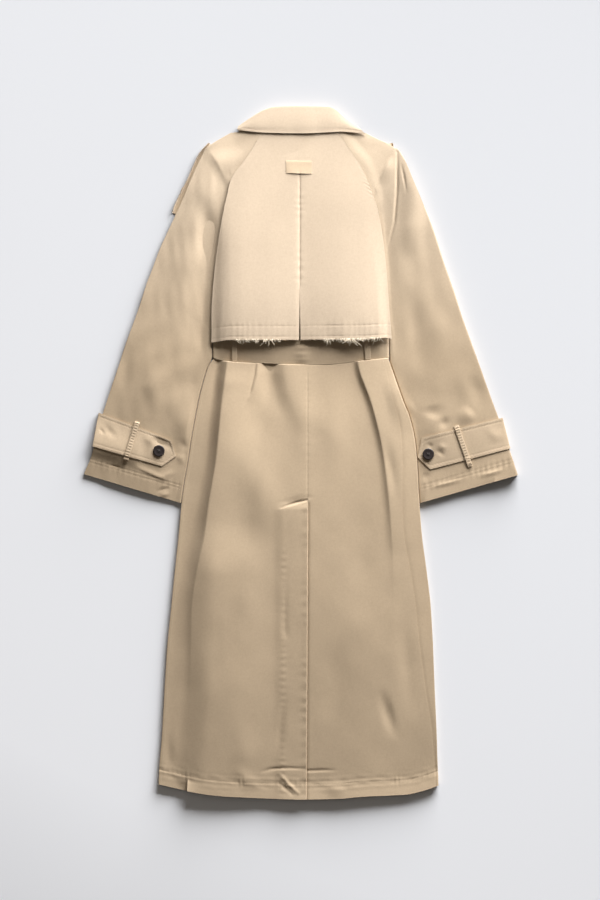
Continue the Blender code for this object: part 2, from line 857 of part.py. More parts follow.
def make_belt_loop(side):
    first, last = BELT_LOOP[side]
    over = BACK_TOP + 2.0 * STEP
    middle = 0.5 * (first + last)
    low = float(belt_low(middle))
    lines = []
    for y, z in (
        (BELT_TOP_Y + 4.0, over - STEP),
        (BELT_TOP_Y + 1.4, over),
        (0.5 * (BELT_TOP_Y + low), over),
        (low - 1.4, over),
        (low - 4.0, over - STEP),
    ):
        lines.append([(x, y, z) for x in (first, middle, last)])
    add_band("belt_loop_" + side, lines, TRIM_CLOTH)


def make_neck_tab():
    x0, x1, y0, y1 = NECK_TAB
    top = BACK_TOP + 2.0 * STEP
    lines = []
    for y, stand_off in ((y1, 0.0), (y0 + 0.55 * (y1 - y0), 0.3), (y0, 1.8)):
        line = []
        for share in (0.0, 0.2, 0.5, 0.8, 1.0):
            bow = math.sin(math.pi * share)
            line.append((x0 + share * (x1 - x0), y, top + stand_off * bow))
        lines.append(line)
    add_band("neck_tab", lines, TRIM_CLOTH)


def make_cuff_strap(side):
    columns = CUFF_STRAP[side]
    top = BACK_TOP + STEP
    radius = 0.5 * top
    outer = []
    inner = []
    for i in range(len(columns["y"])):
        out = np.array((columns["out_x"][i], columns["out_y"][i]))
        end = np.array((columns["end_x"][i], columns["end_y"][i]))
        length = float(np.hypot(*(out - end)))
        across = (out - end) / length
        under = abs(STRAP_UNDER_X[side] - end[0]) / abs(across[0])
        under *= -1.0 if abs(end[0]) > abs(STRAP_UNDER_X[side]) else 1.0
        points = [(0.0, top), (0.33 * length, top), (0.66 * length, top), (length - radius, top)]
        points += half_round((length - radius, radius), radius, 5)
        points += [(length - radius, 0.0), (0.5 * length, 0.0), (under, 0.0)]
        section = np.array(points)
        moved = section_inner(section)
        moved[0] = section[0] - (0.0, WALL)
        moved[-1] = section[-1] + (0.0, WALL)
        for target, line in ((outer, section), (inner, moved)):
            xy = end + line[:, :1] * across
            target.append(np.concatenate((xy, line[:, 1:]), axis=1))
    add_sheet("cuff_strap_" + side, np.array(outer), np.array(inner), TRIM_CLOTH)


def make_strap_loop(side):
    start, end = (np.array(p) for p in STRAP_LOOP[side])
    along = end - start
    length = float(np.hypot(*along))
    along = along / length
    across = np.array((-along[1], along[0]))
    over = BACK_TOP + 2.0 * STEP
    lines = []
    for s, z in ((-2.8, over - STEP), (0.0, over), (0.5 * length, over), (length, over), (length + 2.8, over - STEP)):
        centre = start + s * along
        line = []
        for side_step in (-0.5, 0.0, 0.5):
            place = centre + side_step * STRAP_LOOP_WIDTH * across
            line.append((place[0], place[1], z))
        lines.append(line)
    add_band("strap_loop_" + side, lines, TRIM_CLOTH)


def make_cuff_button(side):
    """A turned button with a raised rim and a dished middle."""
    x, y = CUFF_BUTTON[side]
    base = BACK_TOP + STEP + GAP
    height = BUTTON_THICKNESS
    rim = BUTTON_RADIUS
    profile = (
        (0.55 * rim, 0.0),
        (0.92 * rim, 0.25 * height),
        (rim, 0.6 * height),
        (0.93 * rim, 0.95 * height),
        (0.78 * rim, height),
        (0.66 * rim, 0.72 * height),
    )
    sides = 24
    points = []
    for radius, z in profile:
        for k in range(sides):
            angle = 2.0 * math.pi * k / sides
            points.append((x + radius * math.cos(angle), y + radius * math.sin(angle), base + z))
    low = len(points)
    points.append((x, y, base))
    points.append((x, y, base + 0.68 * height))
    faces = []
    for ring in range(len(profile) - 1):
        for k in range(sides):
            a = ring * sides + k
            b = ring * sides + (k + 1) % sides
            faces.append((a, b, b + sides, a + sides))
    last = (len(profile) - 1) * sides
    for k in range(sides):
        after = (k + 1) % sides
        faces.append((low, after, k))
        faces.append((low + 1, last + k, last + after))
    add_solid("cuff_button_" + side, points, faces, BUTTON)


def make_epaulette(side):
    """Shoulder strap on the front, which shows only past the sleeve's edge."""
    outer_line = np.array(EPAULETTE[side])
    sign = 1.0 if side == "left" else -1.0
    along = np.gradient(outer_line, axis=0)
    along /= np.linalg.norm(along, axis=1, keepdims=True)
    inward = sign * np.stack((-along[:, 1], along[:, 0]), axis=1)
    widths = EPAULETTE_WIDTH * np.array((1.0, 1.0, 1.0, 1.0, 0.6))
    grid = []
    for i, place in enumerate(outer_line):
        line = []
        for share in (0.0, 0.5, 1.0):
            xy = place + inward[i] * widths[i] * share
            line.append((xy[0], xy[1], EPAULETTE_Z))
        grid.append(line)
    grid = np.array(grid)
    add_sheet("epaulette_" + side, grid, grid + (0.0, 0.0, TRIM), TRIM_CLOTH)


def make_epaulette_loop(side):
    """Loop that holds the epaulette down, on the side that faces the surface."""
    x, y = EPAULETTE_LOOP[side]
    sign = 1.0 if side == "left" else -1.0
    along = np.array((-0.42, -0.91)) if side == "left" else np.array((0.42, -0.91))
    inward = sign * np.array((-along[1], along[0]))
    grid = []
    for s in (0.0, 0.5, 1.0):
        line = []
        for share in (-0.03, 0.5, 1.03):
            place = np.array((x, y)) + s * EPAULETTE_LOOP_WIDTH * along + inward * EPAULETTE_WIDTH * share
            line.append((place[0], place[1], 0.0))
        grid.append(line)
    grid = np.array(grid)
    add_sheet("epaulette_loop_" + side, grid, grid + (0.0, 0.0, TRIM), TRIM_CLOTH)


def make_fray(side):
    """A narrow strip off the flap's lower edge, with the threads that hang from it."""
    first, last, count, longest = FRAY_RUN[side]
    strip_deep = 1.6
    strip_thick = 1.0
    thread = 1.2
    pitch = (last - first) / count
    seeds = {"left": 11, "right": 23}
    rng = np.random.default_rng(seeds[side])
    stations = []
    for i in range(count):
        stations += [first + i * pitch, first + i * pitch + thread]
    stations.append(last)
    points = []
    for x in stations:
        y = float(flap_low(x)) - 0.5
        top = BACK_TOP + STEP + FLAP_RISE - 0.2
        for dy, dz in ((0.0, 0.0), (-strip_deep, 0.0), (-strip_deep, -strip_thick), (0.0, -strip_thick)):
            points.append((x, y + dy, top + dz))
    faces = [(0, 1, 2, 3)]
    end = 4 * (len(stations) - 1)
    faces.append((end + 3, end + 2, end + 1, end))
    for i in range(len(stations) - 1):
        a = 4 * i
        b = a + 4
        for k in (0, 2, 3):
            n = (k + 1) % 4
            faces.append((a + k, b + k, b + n, a + n))
        if i % 2:
            faces.append((a + 1, b + 1, b + 2, a + 2))
            continue
        ring = [a + 1, b + 1, b + 2, a + 2]
        length = longest * (0.35 + 0.65 * rng.random())
        lean = 2.2 * (rng.random() - 0.5)
        floor = BACK_TOP + STEP + GAP
        over_loop = any(lo - 4.0 < stations[i] < hi + 4.0 for lo, hi in BELT_LOOP.values())
        if over_loop:
            floor += STEP
        for share in (0.45, 1.0):
            base = len(points)
            size = 1.0 - 0.55 * share
            thread_x = 0.5 * (stations[i] + stations[i + 1]) + lean * share
            tip_y = points[ring[0]][1] - 0.5 * length
            high = points[a + 1][2]
            z_top = high + share * (max(floor + 0.9, high - 0.3 * length) - high)
            for dx, dz in ((-0.5, 0.0), (0.5, 0.0), (0.5, -0.8), (-0.5, -0.8)):
                points.append((thread_x + dx * thread * size, tip_y, z_top + dz * size))
            new = [base, base + 1, base + 2, base + 3]
            for k in range(4):
                n = (k + 1) % 4
                faces.append((ring[k], ring[n], new[n], new[k]))
            ring = new
        faces.append(tuple(ring))
    add_solid("frayed_edge_" + side, points, faces, FRAY)


def main():
    clear_scene()
    make_collar()
    make_neck_tab()
    make_belt()
    for side in ("left", "right"):
        make_back(side)
        make_front(side)
        make_sleeve(side)
        make_flap(side)
        make_collar_point(side)
        make_belt_loop(side)
        make_cuff_strap(side)
        make_strap_loop(side)
        make_cuff_button(side)
        make_epaulette(side)
        make_epaulette_loop(side)
        make_fray(side)


main()
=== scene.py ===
"""Looks of the duster coat that lies flat with its back up.

Sizes are millimetres until a mesh is made. X is across the coat, Y runs from
hem to collar, Z is up. The wearer's left is at -X. Each cloth piece is a thin
shell on the form of its solid, with its creases, seams and stitches.
"""
import math

import bpy
import numpy as np
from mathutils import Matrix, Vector
from mathutils.bvhtree import BVHTree


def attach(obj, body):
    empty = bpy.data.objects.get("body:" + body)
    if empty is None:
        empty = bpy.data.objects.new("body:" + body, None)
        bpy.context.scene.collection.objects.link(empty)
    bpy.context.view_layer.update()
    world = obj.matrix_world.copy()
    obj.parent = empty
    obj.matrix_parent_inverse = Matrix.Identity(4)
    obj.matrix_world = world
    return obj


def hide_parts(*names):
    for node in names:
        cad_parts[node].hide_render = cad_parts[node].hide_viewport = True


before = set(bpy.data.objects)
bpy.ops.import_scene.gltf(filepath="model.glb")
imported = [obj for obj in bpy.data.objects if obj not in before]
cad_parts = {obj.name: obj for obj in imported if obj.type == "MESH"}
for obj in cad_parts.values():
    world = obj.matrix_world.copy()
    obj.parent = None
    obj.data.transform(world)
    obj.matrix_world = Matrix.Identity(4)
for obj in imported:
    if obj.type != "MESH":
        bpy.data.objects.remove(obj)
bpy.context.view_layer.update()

MM = 0.001
WALL = 1.4
THIN = 1
GAP = 0.3
STEP = WALL + GAP
BACK_TOP = 6.5
BODY_TOP_Y = 579
FRONT_TOP_Y = 539
HEM_LOW = -623.3
HEM_CURVE_START = -500
HEM_BAND = 26.5
HEM_LIFT = 3.2
ARMPIT_Y = 270
ARMHOLE_Y = 330
CUFF_Y = -91
CUFF_HEM = 24
CUFF_LIFT = {"left": -2, "right": 1.5}
CENTRE_X = 13.5
VENT_HEM_X = 10.6
VENT_TOP_Y = -86
VENT_UNDERLAY_Y = -104
VENT_UNDERLAY_X = -28
FRONT_OVERLAP = 70
BELT_TOP_Y = 206
RELIEF = 1.4
SEAM_WIDTH = 1.6
SHARP_DEGREES = 44
SIDES = {"left": -1, "right": 1}


def table(names, *rows):
    """Named columns of numbers, a row for each section or point."""
    return dict(zip(names.split(), np.array(rows, float).T))


def smooth(columns, name, y):
    """A column read at y on a smooth curve that never overshoots its rows."""
    order = np.argsort(columns["y"])
    xs = columns["y"][order]
    ys = columns[name][order]
    y = np.asarray(y, float)
    step = np.diff(xs)
    slope = np.diff(ys) / step
    tangent = np.zeros_like(ys)
    product = slope[1:] * slope[:-1]
    total = np.where(product > 0, slope[1:] + slope[:-1], 1)
    tangent[1:-1] = np.where(product > 0, 2 * product / total, 0)
    tangent[0], tangent[-1] = slope[0], slope[-1]
    i = np.clip(np.searchsorted(xs, y) - 1, 0, len(xs) - 2)
    t = np.clip((y - xs[i]) / step[i], 0, 1)
    rest = 1 - t
    value = ys[i] * (1 + 2 * t) * rest**2 + tangent[i] * step[i] * t * rest**2
    return value + ys[i + 1] * t**2 * (3 - 2 * t) - tangent[i + 1] * step[i] * t**2 * rest


def ease(value):
    t = np.clip(value, 0, 1)
    return t * t * (3 - 2 * t)


def bump(value, centre, width):
    """A soft hump of height 1."""
    return np.exp(-(((value - centre) / width) ** 2))


def waves(x, y, size, seed, stretch=1, count=8):
    """Soft irregular swell, mostly between -1 and 1, longer along y by stretch."""
    rng = np.random.default_rng(seed)
    total = 0
    for _ in range(count):
        angle = rng.uniform(0, 2 * math.pi)
        wave = 2 * math.pi / (size * rng.uniform(0.7, 1.6))
        phase = rng.uniform(0, 2 * math.pi)
        total = total + np.sin(wave * (math.cos(angle) * x + math.sin(angle) * y / stretch) + phase)
    return total / math.sqrt(2 * count)


def puckers(along, off, period, depth, reach, seed):
    """Small ripples across a stitched line, fading away from it."""
    shift = 0.35 * waves(along, off * 0, 60, seed)
    strength = 0.6 + 0.4 * waves(along, off * 0, 110, seed + 1)
    return depth * strength * np.sin(2 * math.pi * (along / period + shift)) * bump(off, 0, reach)


def squared(value):
    """Turns a round edge into one with a flatter top and a steeper side."""
    return np.sign(value) * np.abs(value) ** 0.16


def round_edge(count, first=90):
    """Shares out and up along a rounded edge, without its first point."""
    angles = np.radians(np.linspace(first, -first, count))[1:]
    return squared(np.cos(angles)), squared(np.sin(angles))


def fold_shape(off, rise, reach, crisp):
    """Share of a fold's height at a distance from it: up over rise, then down over reach."""
    if crisp:
        up = np.clip((off + rise) / rise, 0, 1) ** 2
    else:
        up = ease((off + 0.5 * rise) / rise)
    return up * (1 - ease((off - 0.5 * rise * (not crisp)) / reach))


def crease(x, y, line, side, rise, reach, crisp=False):
    """Height of a fold along a line of (x, y, height) rows.

    With side 1 or -1 the fold is high on the left or right of its direction:
    it rises over rise and falls off over reach. A crisp one has a sharp upper
    edge. With side 0 it is a soft ridge, or a trough where its height is
    negative, about rise wide.
    """
    best = np.full(np.broadcast(x, y).shape, 1e9)
    total = np.zeros_like(best)
    rows = [np.array(row, float) for row in line]
    for a, b in zip(rows, rows[1:]):
        along = b[:2] - a[:2]
        t = np.clip(((x - a[0]) * along[0] + (y - a[1]) * along[1]) / (along @ along), 0, 1)
        dx = x - (a[0] + t * along[0])
        dy = y - (a[1] + t * along[1])
        distance = np.hypot(dx, dy)
        height = a[2] + ease(t) * (b[2] - a[2])
        if side:
            turn = np.where(along[0] * dy - along[1] * dx > 0, 1, -1)
            shape = fold_shape(side * turn * distance, rise, reach, crisp)
        else:
            shape = bump(distance, 0, rise)
        nearer = distance < best
        best = np.where(nearer, distance, best)
        total = np.where(nearer, height * shape, total)
    return total


def creases(x, y, rows):
    return sum(crease(x, y, *row) for row in rows)


def rows_down(last, *stretches):
    """A column of rows of y, evenly spaced in each (start, end, step), and a last one."""
    return np.concatenate([np.arange(*stretch) for stretch in stretches] + [(last,)])[:, None]


def unit(vector):
    return vector / np.linalg.norm(vector)


def turned(vector):
    """A flat vector turned a quarter to the left."""
    return np.array((-vector[1], vector[0]))


# Side edges of the body: raglan seams above the armpit, side folds below it
EDGE = table(
    "y left right",
    (579, -66, 66), (560, -77.5, 78.5), (539, -90, 92.5), (516, -107, 108.5), (494, -122.5, 119.5),
    (470, -129.5, 128.5), (433, -134, 140.5), (388, -141, 145.5), (330, -148, 150.5),
    (270, -152.5, 154.5), (230, -154.5, 156.5), (208, -155, 157.5), (170, -156, 159), (158, -163, 162.5),
    (138, -170.5, 169.5), (95, -181.8, 184.5), (60, -188.7, 198), (22, -195.3, 206.5),
    (-20, -201.7, 210.8), (-55, -208, 212.5), (-91, -213, 214.8), (-150, -218.5, 219.5),
    (-210, -225, 227.5), (-280, -232, 235.5), (-350, -239, 239.4), (-430, -244, 242.5),
    (-510, -248.5, 246), (-570, -252.5, 247.5), (-623.3, -254.5, 249),
)

# How far the front comes round each side onto the back, up to the side seam
SIDE_SEAM = table(
    "y left right",
    (579, 5, 10), (170, 5, 10), (95, 5, 18), (0, 5, 26), (-143, 5, 33), (-219, 5, 29.5), (-321, 5, 26),
    (-424, 5, 17), (-510, 5, 8), (-623.3, 5, 5),
)

# Hem line, as a height for each place across the coat
HEM = table(
    "y low",
    (-254, -596.7), (-205, -607.5), (-164, -614.7), (-124, -618.3), (-20, -622.8), (11, -623.3),
    (72, -621.9), (113, -618.3), (191, -614.7), (223, -607.5), (249, -598.5),
)

# Folds that hang from the belt: place and height down the skirt
FOLD_LEFT = table(
    "y x height",
    (579, -50, 0), (433, -104, 0), (270, -126, 0), (190, -131, 0), (172, -131.5, 6.5), (147, -134.5, 8),
    (120, -138, 9.5), (60, -144, 9.5), (-12, -151, 8.5), (-91, -164, 7.5), (-150, -172, 6.5),
    (-210, -185, 5.5), (-287, -195, 3.8), (-350, -196, 2.2), (-430, -197, 0.8), (-510, -199, 0.3),
    (-623.3, -204, 0.2),
)
FOLD_TUCK = table(
    "y x height",
    (579, -36, 0), (270, -74, 0), (190, -76, 0), (172, -76.5, 2.4), (147, -79.5, 2.4), (125, -84, 1.8),
    (100, -90, 0.6), (82, -93, 0), (-623.3, -106, 0),
)
FOLD_MIDDLE = table(
    "y x height",
    (579, -18, 0), (270, -40, 0), (190, -41, 0), (172, -41, 2.4), (147, -40, 2.8), (109, -34, 2.3),
    (66, -20, 1.2), (25, -10, 0), (-623.3, -16, 0),
)
FOLD_RIGHT = table(
    "y x height",
    (579, 42, 0), (433, 92, 0), (270, 100, 0), (190, 102, 0), (172, 102.5, 3.2), (147, 107, 4),
    (95, 126, 4.3), (60, 136, 4.1), (22, 145, 3.8), (-20, 152, 3.4), (-91, 160, 2.8), (-150, 164.5, 1.7),
    (-190, 167, 0.8), (-350, 169.5, 0), (-623.3, 175, 0),
)
# fold, width of its rising side, reach of its falling side, whether its edge is crisp
BACK_FOLDS = (
    (FOLD_LEFT, 20, 84, True),
    (FOLD_TUCK, 5, 34, True),
    (FOLD_MIDDLE, 30, 60, False),
    (FOLD_RIGHT, 11, 200, True),
)

# Crown of the skirt, across it from the left edge to the right one
SKIRT_CROWN = table(
    "y height",
    (0, 0), (0.05, 0.2), (0.15, 1), (0.28, 2.6), (0.45, 3.4), (0.66, 3.2), (0.84, 2.4), (0.94, 1.2),
    (1, 0),
)

# Creases of the back: line of (x, y, height), high side, steep width, reach
BACK_CREASES = (
    (((-34, -99, -0.2), (-8, -90, -0.8), (12, -85, -0.3)), 1, 3, 14),
    (((-33, -99, -0.6), (-8, -90.5, -1.9), (12, -85.5, -1.2)), 0, 2, 0),
    (((-58, 172, -6.4), (-56, 140, -3.4), (-46, 60, 0)), 0, 18, 0),
    (((-146, 168, -2.4), (-150, 120, -2), (-157, 60, 0)), 0, 9, 0),
    (((-77.5, 168, -1.2), (-81, 140, -1.9), (-88, 112, -1.3), (-92, 96, 0)), 0, 2.2, 0),
    (((-132.5, 172, -0.8), (-135.5, 147, -0.9), (-145, 60, 0)), 0, 1.6, 0),
    (((-36.5, -578, 0.4), (-20, -597, 1.7), (-3.4, -612, 0.8)), 0, 2.6, 0),
    (((-43, -590, 0), (-30, -600, -1.3), (-13.7, -615, -0.6)), 0, 2.4, 0),
    (((-72, -578, 0), (-51, -569, -1), (-20, -567, -0.8), (9, -568, -0.4)), 0, 2.4, 0),
    (((14, -572, -0.9), (40, -571, -0.8), (70, -572, 0)), 0, 2.4, 0),
    (((-176, -120, 0), (-178, -220, 4.8), (-184, -420, 7), (-202, -600, 7)), 1, 54, 130),
    (((-238, -480, 0), (-236, -560, -1.2), (-238, -600, 0)), 0, 9, 0),
    (((-104, -470, 0), (-100, -540, 1.4), (-98, -590, 0)), 0, 20, 0),
    (((-150, -240, 0), (-160, -340, -1.4), (-150, -440, 0)), 0, 22, 0),
    (((-27, -195, 0), (-27, -320, -0.8), (-24, -340, 0)), 0, 5, 0),
    (((-26, -420, 0), (-35, -500, -1.3), (-40, -555, 0)), 0, 7, 0),
    (((144, -420, 0), (158, -470, -2.2), (171, -520, 0)), 0, 9, 0),
    (((72, 120, 0), (60, 40, 1.5), (70, -60, 0)), 0, 22, 0),
    (((-8, 130, 0), (6, 60, 1), (2, -40, 0)), 0, 16, 0),
    (((120, -60, 0), (112, -190, -1.4), (120, -330, 0)), 0, 26, 0),
    (((60, -280, 0), (64, -420, -1.2), (58, -560, 0)), 0, 24, 0),
    (((-88, -120, 0), (-96, -260, 1.6), (-92, -420, 0)), 0, 28, 0),
    (((-96, 60, 0), (-76, -60, 4.4), (-60, -170, 0)), 0, 34, 0),
    (((186, -260, 0), (192, -380, -1.3), (200, -480, 0)), 0, 14, 0),
    (((-120, -560, 0), (-96, -590, 1.4), (-70, -606, 0)), 0, 12, 0),
    (((40, -590, 0), (62, -606, 1.4), (90, -612, 0)), 0, 12, 0),
    (((150, 40, 0), (164, -30, -1.2), (178, -110, 0)), 0, 9, 0),
    (((150, 150, 0), (162, 100, 2.4), (182, 20, 0)), 1, 26, 70),
)

# Storm flap: how far its side edges stand out past the body's edge
FLAP = table(
    "y left right",
    (579, 0, 0), (494, 0, 0), (470, 0, 0), (433, 3.5, 0), (388, 4.6, 3.4), (330, 5.4, 4.8),
    (270, 5.8, 5.2), (215, 4.2, 6.4), (196, 4, 7),
)
FLAP_SEWN_TO = {"left": 480, "right": 440}
FLAP_CENTRE_X = -0.4
FLAP_SLIT = table("y half", (579, 0.12), (300, 0.12), (250, 0.7), (196, 1.6))
FLAP_LOW = table("y low", (-160, 198), (-123, 202), (0, 202.5), (115, 204), (157, 206), (166, 203))
FLAP_CROWN = table(
    "y height",
    (-160, -1.4), (-151, 0.6), (-140, 3.6), (-124, 6.8), (-104, 8), (-60, 6.6), (-25, 4.2), (-8, 3),
    (0, 1.8), (12, 2.2), (40, 3.8), (80, 5), (115, 4.4), (140, 2.6), (166, 0.4),
)
FLAP_RISE = 10.5
FLAP_STITCH_Y = (227.5, 208.5)
FLAP_MEAN_LOW = 203
FLAP_FINE_Y = 262
FLAP_LOW_Y = 196

# Belt: lower edge for each place across the coat
BELT_LOW = table(
    "y low",
    (-160, 171), (-135, 165), (-77, 161), (13, 158.6), (54, 158.8), (103, 164.5), (163, 171),
)
BELT_STITCH = (0.1, 0.9)

# Sleeves: y of a section's inner end, height of its underside, places of the outer ends
SLEEVE = table(
    "y lift left_x left_y right_x right_y",
    (579, 2.6, -124.2, 575, 118.8, 574.2), (560, 2.6, -140.4, 566.1, 140.4, 563.4),
    (539, 2.6, -153.9, 558, 156.6, 556.2), (516, 2.6, -164.7, 550.8, 165.6, 550.8),
    (494, 2.6, -171, 544.5, 174.6, 546.3), (470, 2.6, -178.2, 530.1, 181.8, 538.2),
    (433, 2.6, -192.6, 499.5, 190.8, 521.1), (388, 2.6, -209.7, 458.1, 203.4, 490.5),
    (330, 2.6, -232.2, 409.5, 221.4, 447.3), (270, 0, -252.9, 364.5, 239.4, 402.3),
    (230, 0, -266.4, 328.5, 253.8, 357.3), (208, 0, -275.4, 305.1, 262.8, 330.3),
    (170, 0, -288, 266, 274.5, 297), (158, 0, -297, 240, 280.8, 278.1),
    (138, 0, -307.8, 211.5, 289.8, 249.3), (95, 0, -327.6, 152.1, 307.8, 198.9),
    (60, 1.7, -343.8, 103.5, 325.8, 148.5), (22, 1.7, -354.6, 69.3, 343.8, 98.1),
    (-20, 1.7, -362.7, 36.9, 363.6, 44.1), (-55, 1.7, -375.3, -6.3, 379.8, -4.5),
    (-91, 0, -388.8, -38.7, 391.5, -40.5),
)
# Crown of a sleeve across it, from its inner edge to its outer one
SLEEVE_CROWN = {
    "left": table(
        "y height",
        (0, 0), (0.12, 0.4), (0.3, 2.6), (0.52, 4.6), (0.76, 2.6), (0.92, 0.6), (1, 0),
    ),
    "right": table("y height", (0, 0), (0.14, 0.7), (0.42, 2), (0.72, 3.6), (0.9, 4.4), (1, 4.6)),
}
# Soft trough along the inner edge of each sleeve beside the flap: depth, width
SLEEVE_TROUGH = {"left": (4.2, 14), "right": (1.4, 9)}
SLEEVE_CREASES = {
    "left": (
        (((-165, 546, 0.8), (-148, 520, 2.6), (-131, 484, 0.5)), 1, 18, 55, True),
        (((-128, 514, 0), (-122, 490, 1.8), (-124, 472, 0)), 1, 3, 12),
        (((-172, 466, 0), (-168, 405, -4.4), (-172, 330, 0)), 0, 13, 0),
        (((-262, 168, 0), (-278, 118, 1.6), (-270, 66, 0)), 1, 22, 34),
        (((-200, 130, 0), (-208, 60, 4.6), (-216, -6, 0)), 0, 26, 0),
        (((-378, 0, 4.4), (-340, -9, 4.8), (-306, -19, 3), (-284, -26, 0)), 1, 22, 60),
        (((-300, 200, 0), (-312, 150, -1.6), (-322, 100, 0)), 0, 12, 0),
        (((-186, 300, 0), (-210, 200, 1.6), (-222, 120, 0)), 0, 20, 0),
        (((-353, -19, 0), (-330, -26, -1.2), (-312, -31, 0)), 0, 3, 0),
        (((-308, -22, 0), (-268, -40, 1), (-224, -59, 0)), 1, 3, 9),
        (((-220, -31, 0), (-240, -41, 1.1), (-262, -50, 0)), 0, 6, 0),
        (((-230, -62, 0), (-245, -66, -1), (-262, -72, 0)), 0, 3, 0),
        (((-232, -72, 0), (-244, -76, 1), (-252, -80, 0)), 0, 3, 0),
        (((-222, 0, 0), (-214, -10, 1.1), (-206, -26, 0)), 0, 7, 0),
        (((-218, 26, 0), (-208, 12, -1), (-202, 4, 0)), 0, 7, 0),
    ),
    "right": (
        (((164, 536, 0.6), (152, 512, 2.6), (139, 480, 0.6)), 1, 5, 22),
        (((190, 535, 0.6), (190, 470, 3.8), (186, 415, 3.6), (172, 350, 0)), 1, 30, 30),
        (((175, 540, -0.8), (174.5, 475, -2.2), (170, 415, -1.8), (156, 360, 0)), 0, 2.4, 0),
        (((181, 524, 0), (187, 494, -1.2), (192, 458, 0)), 0, 2.2, 0),
        (((368, 24, 1.6), (358, -10, 3), (350, -44, 2.6)), 1, 60, 80),
        (((182, 92, 0), (191, 76, 1.3), (202, 58, 0)), 1, 4, 18),
        (((250, 62, 0), (259, 53, -1.5), (268, 44, 0)), 0, 9, 0),
        (((292, 88, 0), (306, 72, 1.6), (320, 58, 0)), -1, 14, 26),
        (((236, 88, 0), (240, 72, -1.4), (236, 58, 0)), 0, 15, 0),
        (((250, 110, 0), (242, 40, 3.4), (234, -14, 0)), 0, 24, 0),
        (((222, -62, 0), (262, -53, 1), (300, -44, 0)), -1, 3, 8),
        (((312, -42, 0), (346, -34, 1), (372, -26, 0)), -1, 3, 8),
        (((219, -36, 0), (226, -43, -0.9), (234, -50, 0)), 0, 7, 0),
        (((232, 300, 0), (248, 220, 1.6), (262, 140, 0)), 0, 18, 0),
        (((188, 320, 0), (206, 220, -1.6), (216, 130, 0)), 0, 16, 0),
        (((300, 150, 0), (318, 110, -1.6), (330, 60, 0)), 0, 14, 0),
    ),
}
CUFF_STITCH_OFF = (CUFF_HEM, CUFF_HEM + 5.5)

# Collar: fold line, free edge of the leaf, height of the fold above and below
COLLAR = table(
    "y fold_x fold_y edge_x edge_y top under",
    (0, -111, 586.5, -113, 580, 9.9, 5.1), (1, -99, 595, -101, 578.3, 10.2, 3.6),
    (2, -83, 605.7, -85, 576.6, 10.8, 2.2), (3, -65, 616, -64, 574.9, 11.2, 1.7),
    (4, -45, 621.6, -42, 574.2, 11.4, 1.7), (5, -20, 622.8, -18, 573.7, 11.4, 1.7),
    (6, 10, 622.8, 10, 573.6, 11.4, 1.7), (7, 35, 622.6, 36, 574.6, 11.4, 1.7),
    (8, 54, 621.6, 58, 575.8, 11.4, 1.7), (9, 66, 615.5, 74, 576.6, 11.2, 1.7),
    (10, 78, 604.5, 88, 575.8, 10.8, 2.2), (11, 92, 593.5, 104, 574, 10.2, 3.6),
    (12, 104, 586, 118, 572, 9.9, 5.1),
)
STAND_Y = 581.4
COLLAR_POINT = ((-58, 615), (-110, 585), (-104, 492), (-22, 566))

# Cuff straps: outer fold and end of the upper layer, across the strap
CUFF_STRAP = {
    "left": table(
        "y out_x out_y end_x end_y",
        (0, -362.2, 71.6, -231.8, 22.1), (0.28, -365.3, 54.7, -226.6, 6),
        (0.55, -368.2, 38.4, -222.7, -6.3), (0.78, -370.7, 24.5, -234.5, -15),
        (1, -373.1, 11.2, -248.4, -24.7),
    ),
    "right": table(
        "y out_x out_y end_x end_y",
        (0, 364.3, 62.6, 218.9, 26.5), (0.28, 368.2, 47.1, 215.2, 8), (0.55, 372, 32.2, 211.9, -8.8),
        (0.78, 375.1, 19.5, 222, -19), (1, 378.2, 7.4, 234.4, -30.4),
    ),
}
STRAP_UNDER_X = {"left": -222, "right": 224}
STRAP_CREASES = {
    "left": (
        (((-352, 52, 0), (-342, 38, -1.1), (-326, 22, 0)), 0, 6, 0),
        (((-268, 26, 0), (-252, 20, -2.2), (-236, 12, -1.4)), 0, 7, 0),
        (((-286, 34, 0), (-272, 22, 0.9), (-264, 10, 0)), 0, 7, 0),
        (((-362, 46, 0), (-356, 38, -0.8), (-350, 30, 0)), 0, 3, 0),
    ),
    "right": (
        (((242, 6, 0), (252, 0, -1), (262, -8, 0)), 0, 4, 0),
        (((246, 16, 0), (256, 10, 0.9), (268, 8, 0)), 0, 5, 0),
        (((226, 18, 0), (234, 12, -1), (240, 8, 0)), 0, 4, 0),
        (((330, 50, 0), (350, 30, 0.8), (356, 14, 0)), 0, 9, 0),
    ),
}
STRAP_LOOP = {
    "left": ((-292.3, 53.3), (-312.7, -12.8)),
    "right": ((281.7, 45.4), (304.9, -21.8)),
}
STRAP_LOOP_WIDTH = 9
CUFF_BUTTON = {"left": (-253.4, 2.9), "right": (230.6, -2.9)}
BUTTON_RADIUS = 10.5
BUTTON_THICKNESS = 3
# Half of a button's outline: share of its radius, share of its thickness
BUTTON_PROFILE = (
    (0.02, 0), (0.5, 0), (0.8, 0.1), (0.93, 0.28), (0.99, 0.5), (1, 0.68), (0.97, 0.86), (0.91, 0.97),
    (0.84, 1), (0.76, 0.99), (0.69, 0.96), (0.6, 0.92), (0.4, 0.9), (0.2, 0.9), (0.02, 0.9),
)

# Epaulettes: outer edge, from the neck to the sleeve head
EPAULETTE = {
    "left": ((-163.8, 557), (-180, 539), (-203.4, 489), (-225, 445), (-229.5, 431)),
    "right": ((166.5, 557), (170, 536), (184, 496), (203, 452), (207.5, 439)),
}
EPAULETTE_WIDTH = 40
EPAULETTE_Z = 1.3
EPAULETTE_LOOP = {"left": (-210.5, 477), "right": (190, 486)}
EPAULETTE_LOOP_WIDTH = 9

